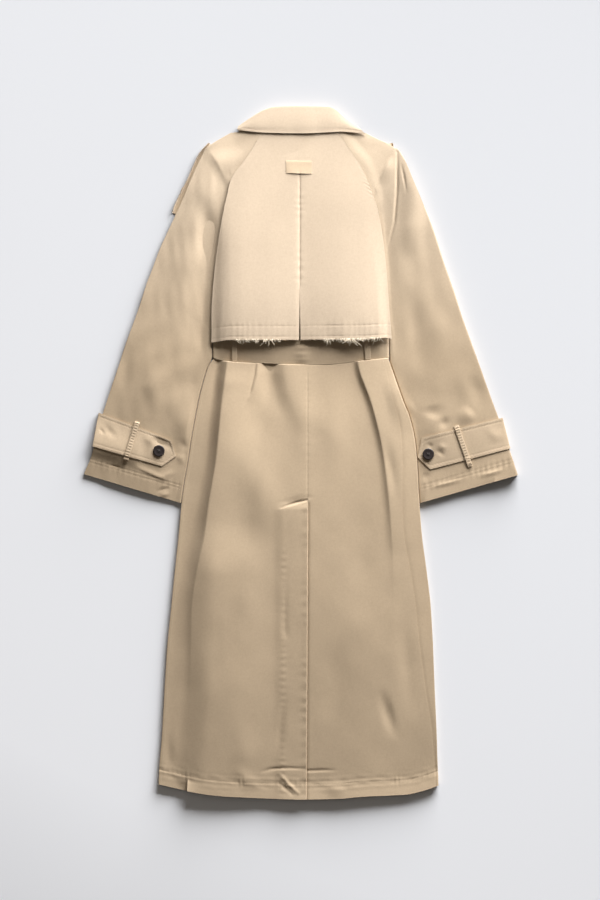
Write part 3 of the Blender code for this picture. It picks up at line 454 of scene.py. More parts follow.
BELT_LOOP = {"left": (-122.4, -112.9), "right": (116.2, 126.5)}
NECK_TAB = (-25.2, 20.7, 502.2, 525.6)
# Threads of the raw edge: first and last place, how many, seed
FRAY_RUN = {"left": (-112, -36, 60, 5), "right": (44, 144, 110, 8)}


# Materials

THREAD_PITCH = 0.0006
SLUB_SCALES = ((90, 2200, 1), (2200, 90, 1))
WHITE = (1, 1, 1)
CLOTH_LOOKS = {
    "Sheen Weight": 0.25,
    "Sheen Roughness": 0.5,
    "Sheen Tint": (1, 0.95, 0.88, 1),
    "Specular IOR Level": 0.25,
}


def nodes_of(name, colour, roughness, looks):
    """A new material, its node tree and its shader."""
    made = bpy.data.materials.new(name)
    made.use_nodes = True
    shader = made.node_tree.nodes["Principled BSDF"]
    for socket, value in {"Base Color": (*colour, 1), "Roughness": roughness, **looks}.items():
        shader.inputs[socket].default_value = value
    return made, made.node_tree, shader


def add(tree, kind, inputs=(), **settings):
    """A node with its settings, and a value or a link for each named input."""
    node = tree.nodes.new("ShaderNode" + kind)
    for name, value in settings.items():
        setattr(node, name, value)
    for name, value in dict(inputs).items():
        if isinstance(value, bpy.types.NodeSocket):
            tree.links.new(value, node.inputs[name])
        else:
            node.inputs[name].default_value = value
    return node


def object_place(tree):
    return add(tree, "TexCoord").outputs["Object"]


def noise(tree, vector, scale, detail=3, roughness=0.5):
    inputs = {"Scale": scale, "Detail": detail, "Roughness": roughness, "Vector": vector}
    return add(tree, "TexNoise", inputs).outputs["Fac"]


def mapped(tree, vector, scale):
    return add(tree, "Mapping", {"Scale": scale, "Vector": vector}).outputs["Vector"]


def ramp(tree, factor, low, high, start=0.3, end=0.7):
    """Colours between low and high by a factor."""
    node = add(tree, "ValToRGB", {"Fac": factor})
    for element, place, colour in zip(node.color_ramp.elements, (start, end), (low, high)):
        element.position = place
        element.color = (*colour, 1)
    return node.outputs["Color"]


def mix(tree, kind, factor, first, second):
    if isinstance(second, tuple):
        second = (*second, 1)
    return add(tree, "Mix", {0: factor, 6: first, 7: second}, data_type="RGBA", blend_type=kind).outputs[2]


def maths(tree, kind, first, second):
    return add(tree, "Math", {0: first, 1: second}, operation=kind).outputs[0]


def bands(tree, vector, direction, period):
    """Even threads across one direction, one each period."""
    inputs = {"Scale": 0.314159 / period, "Distortion": 1.2, "Detail": 1, "Vector": vector}
    return add(tree, "TexWave", inputs, wave_type="BANDS", bands_direction=direction).outputs["Fac"]


def relief(tree, height, strength, distance, **under):
    inputs = {"Strength": strength, "Distance": distance, "Height": height, **under}
    return add(tree, "Bump", inputs).outputs["Normal"]


def scaled(colour, share, more=0):
    return tuple(min(1, share * c + more) for c in colour)


def cloth_material(name, colour, shade, painted_top_colour=None):
    """Plain-woven cotton: threads both ways, slubs, soft blotches, small creases, worn edges. Given a second
    colour, it adds painted light that turns the tone lighter toward the coat's top.
    """
    made, tree, shader = nodes_of(name, colour, 0.82, CLOTH_LOOKS)
    uv = add(tree, "UVMap", uv_map="grain").outputs["UV"]
    place = object_place(tree)
    weave = maths(tree, "MULTIPLY", *(bands(tree, uv, way, THREAD_PITCH) for way in "XY"))
    slub = maths(tree, "ADD", *(noise(tree, mapped(tree, uv, scale), 1, 2) for scale in SLUB_SCALES))
    blotch = noise(tree, place, 9, 4, 0.55)
    speck = noise(tree, place, 260, 3, 0.6)
    tone = ramp(tree, blotch, scaled(colour, shade), scaled(colour, 2 - shade), 0.32, 0.68)
    # painted light: from y 0.16 m the tone blends toward the given lighter colour, reaching it fully at y
    # 0.46 m, in place of the light falling off down the coat
    if painted_top_colour:
        split = add(tree, "SeparateXYZ", {0: place})
        painted_top_share = maths(tree, "DIVIDE", maths(tree, "SUBTRACT", split.outputs["Y"], 0.16), 0.3)
        painted_top_share = maths(tree, "MAXIMUM", maths(tree, "MINIMUM", painted_top_share, 1), 0)
        tone = mix(tree, "MIX", painted_top_share, tone, painted_top_colour)
    tone = mix(tree, "MULTIPLY", 1, tone, ramp(tree, speck, (0.93, 0.93, 0.93), WHITE))
    tone = mix(tree, "MULTIPLY", 1, tone, ramp(tree, slub, (0.94, 0.935, 0.93), WHITE, 0.75, 1.15))
    tone = mix(tree, "MULTIPLY", 1, tone, ramp(tree, weave, (0.95, 0.945, 0.94), WHITE, 0, 0.5))
    worn = maths(tree, "MULTIPLY", add(tree, "Attribute", attribute_name="wear").outputs["Fac"], 0.2)
    tree.links.new(mix(tree, "MIX", worn, tone, scaled(colour, 1.16, 0.02)), shader.inputs["Base Color"])
    rough = maths(tree, "ADD", maths(tree, "MULTIPLY", blotch, 0.12), 0.76)
    tree.links.new(rough, shader.inputs["Roughness"])
    crumple = noise(tree, mapped(tree, place, (1, 0.45, 1)), 60, 5)
    soft = relief(tree, crumple, 0.3, 0.0008)
    threads = maths(tree, "ADD", weave, maths(tree, "MULTIPLY", slub, 0.5))
    tree.links.new(relief(tree, threads, 0.22, 0.00025, Normal=soft), shader.inputs["Normal"])
    return made


def thread_material(name, colour):
    """Twisted cotton thread, a little uneven in tone."""
    made, tree, shader = nodes_of(name, colour, 0.8, {"Sheen Weight": 0.2})
    place = object_place(tree)
    tone = ramp(tree, noise(tree, place, 420, 2), scaled(colour, 0.82), scaled(colour, 1.12))
    tree.links.new(tone, shader.inputs["Base Color"])
    tree.links.new(relief(tree, noise(tree, place, 2400, 1), 0.3, 0.0002), shader.inputs["Normal"])
    return made


def button_material(name, colour):
    """Moulded dark resin with faint cloudy streaks and a soft gloss."""
    made, tree, shader = nodes_of(name, colour, 0.3, {"Coat Weight": 0.1, "Coat Roughness": 0.3})
    place = object_place(tree)
    streak = noise(tree, mapped(tree, place, (1, 3, 1)), 140, 4)
    tree.links.new(ramp(tree, streak, colour, scaled(colour, 2.6, 0.004)), shader.inputs["Base Color"])
    rough = maths(tree, "ADD", maths(tree, "MULTIPLY", noise(tree, place, 500), 0.18), 0.38)
    tree.links.new(rough, shader.inputs["Roughness"])
    return made


MATERIALS = {
    "duster_cloth": cloth_material("duster cloth", (0.428, 0.327, 0.220), 0.965),
    # painted light: a lighter copy of the same cloth, used on the storm flap and collar in place of the
    # brighter light that falls there
    "duster_cloth_painted_light": cloth_material("duster cloth painted light", (0.450, 0.358, 0.264), 0.97),
    # painted shade: a darker copy of the same cloth for the sleeves and belt, which painted light turns
    # lighter toward the coat's top
    "duster_cloth_painted_shade": cloth_material(
        "duster cloth painted shade", (0.372, 0.283, 0.188), 0.965, (0.423, 0.334, 0.240)
    ),
    "duster_cloth_front": cloth_material("duster cloth front", (0.422, 0.321, 0.215), 0.96),
    "trim_cloth": cloth_material("trim cloth", (0.425, 0.327, 0.224), 0.96),
    "frayed_thread": thread_material("frayed thread", (0.74, 0.64, 0.50)),
    "stitch_thread": thread_material("stitch thread", (0.42, 0.315, 0.21)),
    "dark_button": button_material("dark button", (0.006, 0.003, 0.003)),
    "button_thread": thread_material("button thread", (0.02, 0.014, 0.012)),
}


# Meshes

def new_object(name, points, faces, material, uv=None, wear=None):
    """A riding piece with its material, its cloth coordinates and its worn places."""
    mesh = bpy.data.meshes.new(name)
    mesh.from_pydata((np.asarray(points) * MM).tolist(), [], faces)
    mesh.materials.append(MATERIALS[material])
    mesh.shade_smooth()
    mesh.set_sharp_from_angle(angle=math.radians(SHARP_DEGREES))
    if uv is not None:
        corner = np.empty(len(mesh.loops), np.int32)
        mesh.loops.foreach_get("vertex_index", corner)
        layer = mesh.uv_layers.new(name="grain")
        layer.data.foreach_set("uv", (uv[corner] * MM).ravel().astype(np.float32))
        attribute = mesh.attributes.new("wear", "FLOAT", "POINT")
        attribute.data.foreach_set("value", wear.astype(np.float32))
    item = bpy.data.objects.new(name, mesh)
    bpy.context.scene.collection.objects.link(item)
    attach(item, "root")
    return item


def grid_normals(grid, up_at):
    """Unit normals of a grid, turned so that the one at up_at points up."""
    normal = np.cross(np.gradient(grid, axis=1), np.gradient(grid, axis=0))
    normal /= np.maximum(np.linalg.norm(normal, axis=2, keepdims=True), 1e-9)
    return normal if normal[up_at][2] > 0 else -normal


def cloth(node, outer, slot, up_at=None, keep=None, wall=WALL, flat_rim=False, grain=None, look=None):
    """A thin closed shell on a grid of outer points, shown in place of a solid."""
    rows, columns, _ = outer.shape
    r, c = rows // 2, columns // 2
    if keep is None:
        keep = np.ones((rows - 1, columns - 1), bool)
    normal = grid_normals(outer, up_at or (r, c))
    if flat_rim:
        for rim in (np.s_[0, :], np.s_[-1, :], np.s_[:, 0], np.s_[:, -1]):
            normal[rim] = (0, 0, 1)
    points = np.concatenate([(outer - share * wall * normal).reshape(-1, 3) for share in (0, 1, 0.5)])
    count = rows * columns
    index = np.arange(count).reshape(rows, columns)
    quads = np.stack((index[:-1, :-1], index[:-1, 1:], index[1:, 1:], index[1:, :-1]), axis=2)[keep]
    if not keep[r, c]:
        r, c = 0, 0
    if np.cross(outer[r, c + 1] - outer[r, c], outer[r + 1, c] - outer[r, c]) @ normal[r, c] < 0:
        quads = quads[:, ::-1]
    faces = [tuple(q) for q in quads.tolist()]
    edges = {}
    for q in faces:
        for edge in zip(q, q[1:] + q[:1]):
            if not edges.pop(edge[::-1], False):
                edges[edge] = True
    faces += [tuple(i + count for i in reversed(q)) for q in faces]
    for a, b in edges:
        for near, far in ((0, 2 * count), (2 * count, count)):
            faces.append((b + near, a + near, a + far, b + far))
    worn = np.zeros(3 * count)
    rim = np.array(list(edges)).ravel()
    worn[rim] = 1
    worn[rim + 2 * count] = 1
    used = np.unique(faces)
    place = np.full(3 * count, -1)
    place[used] = np.arange(len(used))
    faces = place[np.array(faces)].tolist()
    if grain is None:
        grain = outer[..., :2]
    uv = np.tile(grain.reshape(-1, 2), (3, 1))[used]
    item = new_object(node + "_cloth", points[used], faces, look or slot, uv, worn[used])
    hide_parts(node)
    return item


def surface_of(*items):
    """Finds the highest surface of some pieces above a place."""
    trees = [BVHTree.FromObject(item, bpy.context.evaluated_depsgraph_get()) for item in items]

    def height(x, y):
        hits = [tree.ray_cast(Vector((x * MM, y * MM, 1)), Vector((0, 0, -1)))[0] for tree in trees]
        return max((hit.z / MM for hit in hits if hit is not None), default=None)

    return height


def ring_faces(base, rings, sides):
    """Faces of a tube that runs through rings of points, with both its ends."""
    faces = []
    last = base + (rings - 1) * sides
    for start in range(base, last, sides):
        for k in range(sides):
            a = start + k
            b = start + (k + 1) % sides
            faces.append((a, b, b + sides, a + sides))
    faces.append(tuple(base + k for k in reversed(range(sides))))
    faces.append(tuple(last + k for k in range(sides)))
    return faces


def tube(points, faces, line, radius, sides=5):
    """Adds a round thread along a line of points to lists of points and faces."""
    line = np.asarray(line, float)
    direction = np.gradient(line, axis=0)
    direction /= np.maximum(np.linalg.norm(direction, axis=1, keepdims=True), 1e-9)
    side = np.cross(direction, (0, 0, 1))
    side[np.linalg.norm(side, axis=1) < 1e-6] = (1, 0, 0)
    side /= np.linalg.norm(side, axis=1, keepdims=True)
    up = np.cross(side, direction)
    faces.extend(ring_faces(len(points), len(line), sides))
    for i, centre in enumerate(line):
        taper = 1 if 0 < i < len(line) - 1 else 0.55
        for k in range(sides):
            angle = 2 * math.pi * k / sides
            points.append(centre + radius * taper * (math.cos(angle) * side[i] + math.sin(angle) * up[i]))


def resample(line, spacing):
    """Points along a line of (x, y), evenly spaced."""
    line = np.asarray(line, float)
    length = np.concatenate(((0,), np.cumsum(np.hypot(*np.diff(line, axis=0).T))))
    count = max(2, int(length[-1] / spacing) + 1)
    where = np.linspace(0, length[-1], count)
    return np.stack([np.interp(where, length, line[:, k]) for k in (0, 1)], axis=1)


class Stitches:
    """Collects the stitches of a piece and makes them one mesh."""

    def __init__(self, height):
        self.height = height
        self.points = []
        self.faces = []

    def add(self, places, bow, radius):
        """One stitch over three places, unless one of them is off the cloth."""
        heights = [self.height(x, y) for x, y in places]
        if None not in heights:
            line = [(x, y, h + b) for (x, y), h, b in zip(places, heights, bow)]
            tube(self.points, self.faces, line, radius, 4)

    def row(self, line, length=3, gap=1):
        """Short stitches one after another along a line of (x, y)."""
        places = resample(line, 1)
        for start in range(0, len(places) - length - 1, length + gap):
            self.add(places[[start, start + length // 2, start + length]], (-0.25, -0.05, -0.25), 0.24)

    def bar(self, start, end, width=2.4, count=9):
        """A bar tack: close stitches side by side across a short line."""
        start, end = np.array((start, end), float)
        across = turned(unit(end - start)) * 0.5 * width
        for share in np.arange(count) / (count - 1):
            centre = start + (end - start) * share
            self.add((centre - across, centre, centre + across), (-0.1, 0.2, -0.1), 0.3)

    def finish(self, name, slot="duster_cloth"):
        return new_object(name, np.array(self.points), self.faces, "stitch_thread")


# Body

def edge_x(side, y):
    return smooth(EDGE, side, y)


def hem_place(x, y):
    share = ease((HEM_CURVE_START - y) / (HEM_CURVE_START - HEM_LOW))
    return y + (smooth(HEM, "low", x) - HEM_LOW) * share


def belt_low(x):
    return smooth(BELT_LOW, "low", x)


def centre_x(y):
    share = np.clip((VENT_TOP_Y - y) / (VENT_TOP_Y - HEM_LOW), 0, 1)
    return CENTRE_X + (VENT_HEM_X - CENTRE_X) * share


def front_lift(y):
    belt = ease((230 - y) / 20) * ease((y - 138) / 18)
    return STEP * np.maximum(belt, ease((y - 433) / 30))


def skirt_top(x, y):
    """Height of the back's outer side below and above the belt."""
    left = edge_x("left", y)
    down = belt_low(x) - y
    crown = smooth(SKIRT_CROWN, "height", np.clip((x - left) / (edge_x("right", y) - left), 0, 1))
    crown = crown * (0.3 + 0.7 * ease(down / 190)) * (0.7 + 0.3 * ease((y + 560) / 260))
    folds = 0
    for columns, rise, reach, crisp in BACK_FOLDS:
        wide = rise * (1 + 0.9 * ease((20 - y) / 420))
        shape = fold_shape(x - smooth(columns, "x", y), wide, reach, crisp)
        folds = folds + smooth(columns, "height", y) * shape
    swell = ease(down / 60) * (0.7 * waves(x, y, 130, 4, 2.4) + 0.14 * waves(x, y, 46, 5, 2))
    added = RELIEF * (folds + swell + crown) + 1.25 * creases(x, y, BACK_CREASES)
    return BACK_TOP + ease((down + 0.2) / 1.5) * ease((x - left) / 16) * added


def hem_line_y(x):
    """Stitch line of the hem."""
    return smooth(HEM, "low", x) + HEM_BAND


def vent_rise(x, y):
    return STEP * ease((x + 50) / 22) * ease((VENT_TOP_Y - 0.5 - y) / 17)


def key_columns(keys, counts):
    """Columns of x between key lines, evenly spaced in each stretch."""
    parts = [a + np.arange(n) / n * (b - a) for a, b, n in zip(keys, keys[1:], counts)]
    return np.hstack((*parts, keys[-1]))


def body_rows(top):
    """Rows of y, closer together below the belt and at the hem."""
    return rows_down(
        HEM_LOW, (top, 232, -9), (232, 176, -4), (176, 150, -0.75), (150, 60, -2.2),
        (60, -80, -3), (-80, -110, -1.4), (-110, -550, -3.2), (-550, HEM_LOW, -1.6),
    )


def seam_x(side, y):
    return edge_x(side, y) - SIDES[side] * smooth(SIDE_SEAM, side, y)


def hem_detail(x, y, z):
    """The turned hem: a slight step, the stitch groove and its puckers."""
    off = y - hem_line_y(x)
    lift = HEM_LIFT * (0.55 + 0.45 * ease((x + 60) / 70))
    band = lift * np.clip((6 - off) / (HEM_BAND + 6), 0, 1) ** 1.4
    groove = (0.38 + 0.2 * waves(x, 0 * x, 24, 35)) * bump(off, 0, 1.2)
    ripple = puckers(x, off, 8.5, 0.42, 8, 31) + 0.3 * waves(x, off * 3, 26, 33) * bump(off, 0, 12)
    return z + band - groove + ripple


def make_back(side):
    rows = body_rows(BODY_TOP_Y)
    sign = SIDES[side]
    outer_end = np.where(rows >= ARMHOLE_Y, edge_x(side, rows), seam_x(side, rows)) - sign * 0.03
    centre = centre_x(rows)
    if side == "left":
        fold = smooth(FOLD_LEFT, "x", rows)
        tuck = smooth(FOLD_TUCK, "x", rows)
        vent = 8 * ease((rows - 100) / 200) - 46
        keys = [outer_end, fold - 7, fold + 8, tuck - 7, tuck + 7, vent, centre - 3, centre - 0.05]
        counts = (14, 9, 16, 9, 10, 22, 3)
    else:
        fold = smooth(FOLD_RIGHT, "x", rows)
        below = np.minimum(fold + 8, 0.5 * (fold + outer_end) + 4)
        keys = [0 * rows + VENT_UNDERLAY_X, centre + 0.05, centre + 3, fold - 7, below, outer_end]
        counts = (8, 5, 36, 9, 18)
    x = key_columns(keys, counts)
    y = hem_place(x, rows)
    z = hem_detail(x, y, skirt_top(x, rows))
    off_centre = (x - centre) * -sign
    seam_on = ease((rows - VENT_TOP_Y) / 6) * ease((150 - rows) / 12)
    z = z - seam_on * 0.3 * bump(off_centre, 0, SEAM_WIDTH)
    z = z + seam_on * puckers(rows, off_centre, 13, 0.14, 7, 51)
    keep = np.ones((len(rows) - 1, x.shape[1] - 1), bool)
    if side == "left":
        z = z + vent_rise(x, rows) + 0.5 * ease((VENT_TOP_Y - rows) / 8) * bump(x, centre, 6)
        z = z + ease((VENT_TOP_Y - rows) / 10) * puckers(rows, centre - x, 21, 0.3, 10, 57)
        z = z + ease((-150 - rows) / 40) * puckers(rows, x - centre + 42, 12, 0.28, 5, 59)
    else:
        z = z - ease((VENT_TOP_Y - rows) / 8) * 1.1 * bump(x, centre + 1.6, 1)
        keep[:, :counts[0]] = rows[:-1] <= VENT_UNDERLAY_Y
    outer = np.stack((x, y, z), axis=2)
    item = cloth("back_" + side, outer, "duster_cloth", (20, 30), keep, flat_rim=True)
    return item


def make_front(side):
    sign = SIDES[side]
    rows = body_rows(FRONT_TOP_Y)
    edge = sign * edge_x(side, rows)
    low = front_lift(rows)
    radius = 0.5 * (BACK_TOP - low)
    inner = edge - radius
    overlap = np.minimum(FRONT_OVERLAP, 0.55 * edge)
    near, far = (overlap + 4, overlap + 22) if side == "left" else (overlap, overlap + 20)
    flat = key_columns([-overlap, near, far, np.where(rows <= ARMPIT_Y, inner, edge)], (16, 5, 14))
    z_flat = low + 0 * flat
    if side == "left":
        z_flat = z_flat + STEP * (1 - ease((flat - near) / (far - near)))
    out, up = round_edge(10, -90)
    side_top = hem_detail(sign * inner, hem_place(sign * inner, rows), skirt_top(sign * inner, rows))
    z_round = low + 0.5 * (side_top - low) * (1 + up)
    seam = np.minimum(edge - smooth(SIDE_SEAM, side, rows), inner - 1.2) + 0.03
    x_lip = inner + np.linspace(0, 1, 13)[1:] * (seam - inner)
    z_lip = hem_detail(sign * x_lip, hem_place(sign * x_lip, rows), skirt_top(sign * x_lip, rows))
    if side == "right":
        z_lip = z_lip - 0.35 * (1 - ease(np.abs(x_lip - seam) / 6)) * ease((100 - rows) / 40)
    x = sign * np.hstack((flat, inner + radius * out, x_lip))
    under = np.arange(x.shape[1]) < flat.shape[1] + 4
    y = hem_place(x, rows) + 2.5 * under * ease((HEM_CURVE_START - rows) / (HEM_CURVE_START - HEM_LOW))
    keep = np.ones((len(rows) - 1, x.shape[1] - 1), bool)
    keep[rows[:-1, 0] > ARMPIT_Y + 2, flat.shape[1] - 1:] = False
    outer = np.stack((x, y, np.hstack((z_flat, z_round, z_lip))), axis=2)
    item = cloth("front_" + side, outer, "duster_cloth_front", (len(rows) - 30, x.shape[1] - 3), keep)
    return item


# Sleeves

def sleeve_room(y):
    return 0.4 + 1.9 * ease((y - 160) / 9) * ease((222 - y) / 12)


def make_sleeve(side):
    sign = SIDES[side]
    rows = rows_down(CUFF_Y, (BODY_TOP_Y, ARMHOLE_Y, -3), (ARMHOLE_Y, 60, -2.8), (60, CUFF_Y, -1.7))
    start = np.hstack((edge_x(side, rows) + sign * sleeve_room(rows), rows))
    end = np.hstack([smooth(SLEEVE, side + axis, rows) for axis in ("_x", "_y")])
    width = np.hypot(*(end - start).T)[:, None]
    across = (end - start) / width
    low = smooth(SLEEVE, "lift", rows)
    radius = 0.5 * (BACK_TOP - low)
    middle = 0.5 * (BACK_TOP + low)
    closed = ease((ARMHOLE_Y - rows) / (ARMHOLE_Y - ARMPIT_Y))
    sewn = ease((rows - FLAP_SEWN_TO[side] + 12) / 20)
    angles = np.radians(np.linspace(4, 90, 7))
    s_in = radius * (1 - np.cos(angles))
    z_in = BACK_TOP + closed * (middle + radius * np.sin(angles) - BACK_TOP)
    s_top = radius + np.linspace(0, 1, 88)[1:] * (width - 2 * radius)
    out, up = round_edge(10)
    s_low = radius + np.linspace(1, 0, 22)[1:] * (width - 2 * radius)
    angles = angles[-2::-1]
    z_last = low + closed * (middle - radius * np.sin(angles) - low)
    s = np.hstack((s_in, s_top, width - radius + radius * out, s_low, radius * (1 - np.cos(angles))))
    z = np.hstack((z_in, 0 * s_top + BACK_TOP, middle + radius * up, 0 * s_low + low, z_last))
    x = start[:, :1] + s * across[:, :1]
    y = start[:, 1:] + s * across[:, 1:]
    steps = np.hypot(*np.diff(0.5 * (start + end), axis=0).T)
    along = np.concatenate(((0,), np.cumsum(steps)))[:, None]
    from_cuff = along[-1] - along
    crown = smooth(SLEEVE_CROWN[side], "height", s / width) * ease((560 - rows) / 160)
    crown = crown * (0.55 + 0.45 * ease((from_cuff - 90) / 120))
    seed = len(side)
    swell = 0.5 * waves(s, along, 90, 14 + seed, 2.4) + 0.25 * waves(s, along, 36, 24 + seed, 1.8)
    inside = ease(s / 12)
    depth, wide = SLEEVE_TROUGH[side]
    beside = ease((480 - y) / 120) * ease((y - 150) / 70)
    trough = depth * beside * bump(s, 2 * wide, np.where(s < 2 * wide, wide, 3 * wide))
    cuff = CUFF_LIFT[side] * np.clip((62 - from_cuff) / 62, 0, 1) ** 1.2
    added = 1.25 * (crown + swell) - trough + cuff + 1.2 * creases(x, y, SLEEVE_CREASES[side])
    for line in CUFF_STITCH_OFF:
        added = added - 0.45 * bump(from_cuff, line, 1.1)
    added = inside * (added + puckers(s, from_cuff - CUFF_HEM - 2, 10.5, 0.35, 9, 71))
    added = added + STEP * sewn * (1 - ease((s - 4) / 22))
    upper = s_in.shape[1] + s_top.shape[1]
    round_part = np.s_[:, upper:upper + len(out)]
    z[round_part] = low + (z[round_part] - low) * (1 + added[:, upper - 1:upper] / (BACK_TOP - low))
    z[:, :upper] += added[:, :upper]
    outer = np.stack((x, y, z), axis=2)
    grain = np.stack((s, along + 0 * s), axis=2)
    # the sleeve is shown in the darker copy of the cloth: painted shade
    item = cloth("sleeve_" + side, outer, "duster_cloth", (90, 30), grain=grain, look="duster_cloth_painted_shade")
    return item


# Storm flap

def flap_top(x, y, share, low):
    """Height of the flap's outer side."""
    stand = 0.78 + 0.28 * ease((x - 20) / 100)
    rise = FLAP_RISE * stand * ease((430 - y) / 225) * (1 - 0.4 * ease((share - 0.86) / 0.14))
    fade = ease((560 - y) / 190)
    lower = ease((430 - y) / 120)
    crown = smooth(FLAP_CROWN, "height", x) * fade
    corner = smooth(FLAP_CROWN, "height", -100) * fade * ease((x + 160) / 22)
    crown = np.where(x < -100, crown * (0.45 + 0.55 * lower) + 0.55 * (1 - lower) * corner, crown)
    swell = 0.5 * waves(x, y, 110, 81, 1.6) * ease((570 - y) / 60)
    edge = 0.6 * waves(x, y * 0, 34, 83) * ease((245 - y) / 40)
    inside = 1 - ease((share - 0.94) / 0.06)
    z = BACK_TOP + STEP + rise + crown + inside * swell + edge * (0.3 + 0.7 * inside)
    z = z - 1.6 * bump(x, -14, 11) * bump(y, 553, 12)
    for place in FLAP_STITCH_Y:
        off = y - place - (low - FLAP_MEAN_LOW)
        z = z - (0.28 + 0.16 * waves(x, 0 * x, 40, 86)) * bump(off, 0, 1.1)
        z = z + puckers(x, off, 10.5, 0.22, 8, 85)
    seam_on = ease((y - 292) / 14) * ease((512 - y) / 20)
    off = x - FLAP_CENTRE_X
    z = z - seam_on * 0.9 * bump(off, 0, SEAM_WIDTH)
    z = z + seam_on * puckers(y, off, 15, 0.2, 8, 87)
    raglan_on = ease((y - 425) / 20) * ease((506 - y) / 14)
    beside = x - edge_x("right", y) + 4
    z = z + raglan_on * puckers(y + 0.9 * beside, beside, 7.5, 0.7, 4, 89)
    return np.maximum(z, BACK_TOP + STEP)


def make_flap(side):
    sign = SIDES[side]
    rows = rows_down(FLAP_LOW_Y, (BODY_TOP_Y, FLAP_FINE_Y, -2.4), (FLAP_FINE_Y, FLAP_LOW_Y, -1.6))
    first = FLAP_CENTRE_X + sign * smooth(FLAP_SLIT, "half", rows)
    last = edge_x(side, rows) + sign * smooth(FLAP, side, rows)
    share = np.concatenate((np.linspace(0, 0.04, 4)[:-1], np.linspace(0.04, 1, 74)))
    x = first + share * (last - first)
    low = smooth(FLAP_LOW, "low", x) + 0.35 * waves(x, 0 * x, 9, 91)
    stretch = (FLAP_FINE_Y - low) / (FLAP_FINE_Y - FLAP_LOW_Y)
    y = np.where(rows > FLAP_FINE_Y, rows, FLAP_FINE_Y - (FLAP_FINE_Y - rows) * stretch)
    outer = np.stack((x, y, flap_top(x, y, share, low)), axis=2)
    # the flap is shown in the lighter copy of the cloth: painted light
    look = "duster_cloth_painted_light"
    item = cloth("storm_flap_" + side, outer, "duster_cloth", (30, 20), wall=1.2, flat_rim=True, look=look)
    return item


# Collar

def make_collar():
    steps = np.linspace(0, 12, 90)[:, None]
    fold_x, fold_y, rim_x, rim_y, top, under = (smooth(COLLAR, name, steps) for name in list(COLLAR)[1:])
    radius = 0.5 * (top - under)
    reach = fold_y - rim_y
    round_from = reach - radius
    s_leaf = round_from * np.linspace(0, 1, 16)
    lift = 0.6 * np.sin(np.pi * np.clip(s_leaf / np.maximum(round_from, 1), 0, 1))
    lift = lift - 0.3 * (1 - ease(s_leaf / 16)) * ease((reach - 8) / 20)
    groove = 0.4 * bump(s_leaf, 4.5, 1.2) * ease(reach / 30)
    wave = 0.5 * waves(rim_x, 0 * rim_x, 55, 95) * (1 - s_leaf / reach)
    out, up = round_edge(12)
    last = reach - (fold_y - STAND_Y)
    s_stand = round_from + np.linspace(0, 1, 8)[1:] * (last - round_from)
    climb = ease((round_from - s_stand) / np.maximum(round_from - last, 1))
    s = np.hstack((s_leaf, round_from + radius * out, s_stand))
    z_round = 0.5 * (top + under) + radius * up
    z = np.hstack((top + lift - groove + wave, z_round, under + (5.1 - under) * climb))
    outer = np.stack((rim_x + s / reach * (fold_x - rim_x), rim_y + s, z), axis=2)
    # the collar is shown in the lighter copy of the cloth: painted light
    item = cloth("collar", outer, "duster_cloth", (45, 6), look="duster_cloth_painted_light")
    return item


def make_collar_point(side):
    corners = np.array(COLLAR_POINT, float)
    u = np.linspace(0, 1, 20)[:, None, None]
    v = np.linspace(0, 1, 24)[None, :, None]
    upper = corners[0] * (1 - u) + corners[1] * u
    lower = corners[3] * (1 - u) + corners[2] * u
    x, y = np.moveaxis(upper * (1 - v) + lower * v, 2, 0)
    x = -SIDES[side] * x * (0.96 if side == "right" else 1)
    from_end = np.minimum(v, 1 - v)[..., 0] * 90
    z = WALL - 0.25 * np.exp(-((from_end - 5) ** 2) / 2) + 0 * x
    outer = np.stack((x, y, z), axis=2)
    item = cloth("collar_point_" + side, outer, "duster_cloth_front", flat_rim=True)
    return item


# Belt

def make_belt():
    v = np.linspace(0, 1, 15)[:, None]
    angles = np.radians(np.linspace(90, -90, 12))[1:-1]
    low = 0
    top = BACK_TOP + STEP
    reach = 0.5 * (top - low)
    middle = 0.5 * (top + low)
    left = edge_x("left", 190 - 14 * v) - STEP + reach
    right = edge_x("right", 190 - 14 * v) + STEP - reach
    x_top = left + np.linspace(0, 1, 90) * (right - left)
    y_top = BELT_TOP_Y + v * (belt_low(x_top) - BELT_TOP_Y)
    from_end = np.minimum(x_top - left, right - x_top)
    edge_roll = 0.12 * (1 - ease(np.minimum(v, 1 - v) / 0.06))
    groove = 0.3 * sum(bump(v, place, 0.035) for place in BELT_STITCH)
    swell = 0.3 * waves(x_top, y_top, 60, 101) * ease(from_end / 20)
    ridge = 1.8 * bump(x_top, 4, 13) * ease((v - 0.05) / 0.3) * ease((1 - v) / 0.25)
    ridge = ridge * (1 + 0.3 * np.sin(y_top * 1.3))
    lean = 3.8 * (1 - v) * ease(from_end / 14)
    z_top = top - edge_roll - groove + np.abs(swell) * 0.8 + ridge + lean
    y_side = BELT_TOP_Y + v * (171 - BELT_TOP_Y) + 0 * angles
    out = reach * np.cos(angles)
    up = reach * np.sin(angles) + 0 * v
    x = np.hstack((x_top, right + out, x_top[:, ::-1], left - out, x_top[:, :1]))
    y = np.hstack((y_top, y_side, y_top[:, ::-1], y_side, y_top[:, :1]))
    z = np.hstack((z_top, middle + up, 0 * x_top + low, middle - up, z_top[:, :1]))
    # the belt is shown in the darker copy of the cloth: painted shade in place of the flap's shadow over it
    item = cloth("belt", np.stack((x, y, z), axis=2), "trim_cloth", (7, 40), look="duster_cloth_painted_shade")
    return item


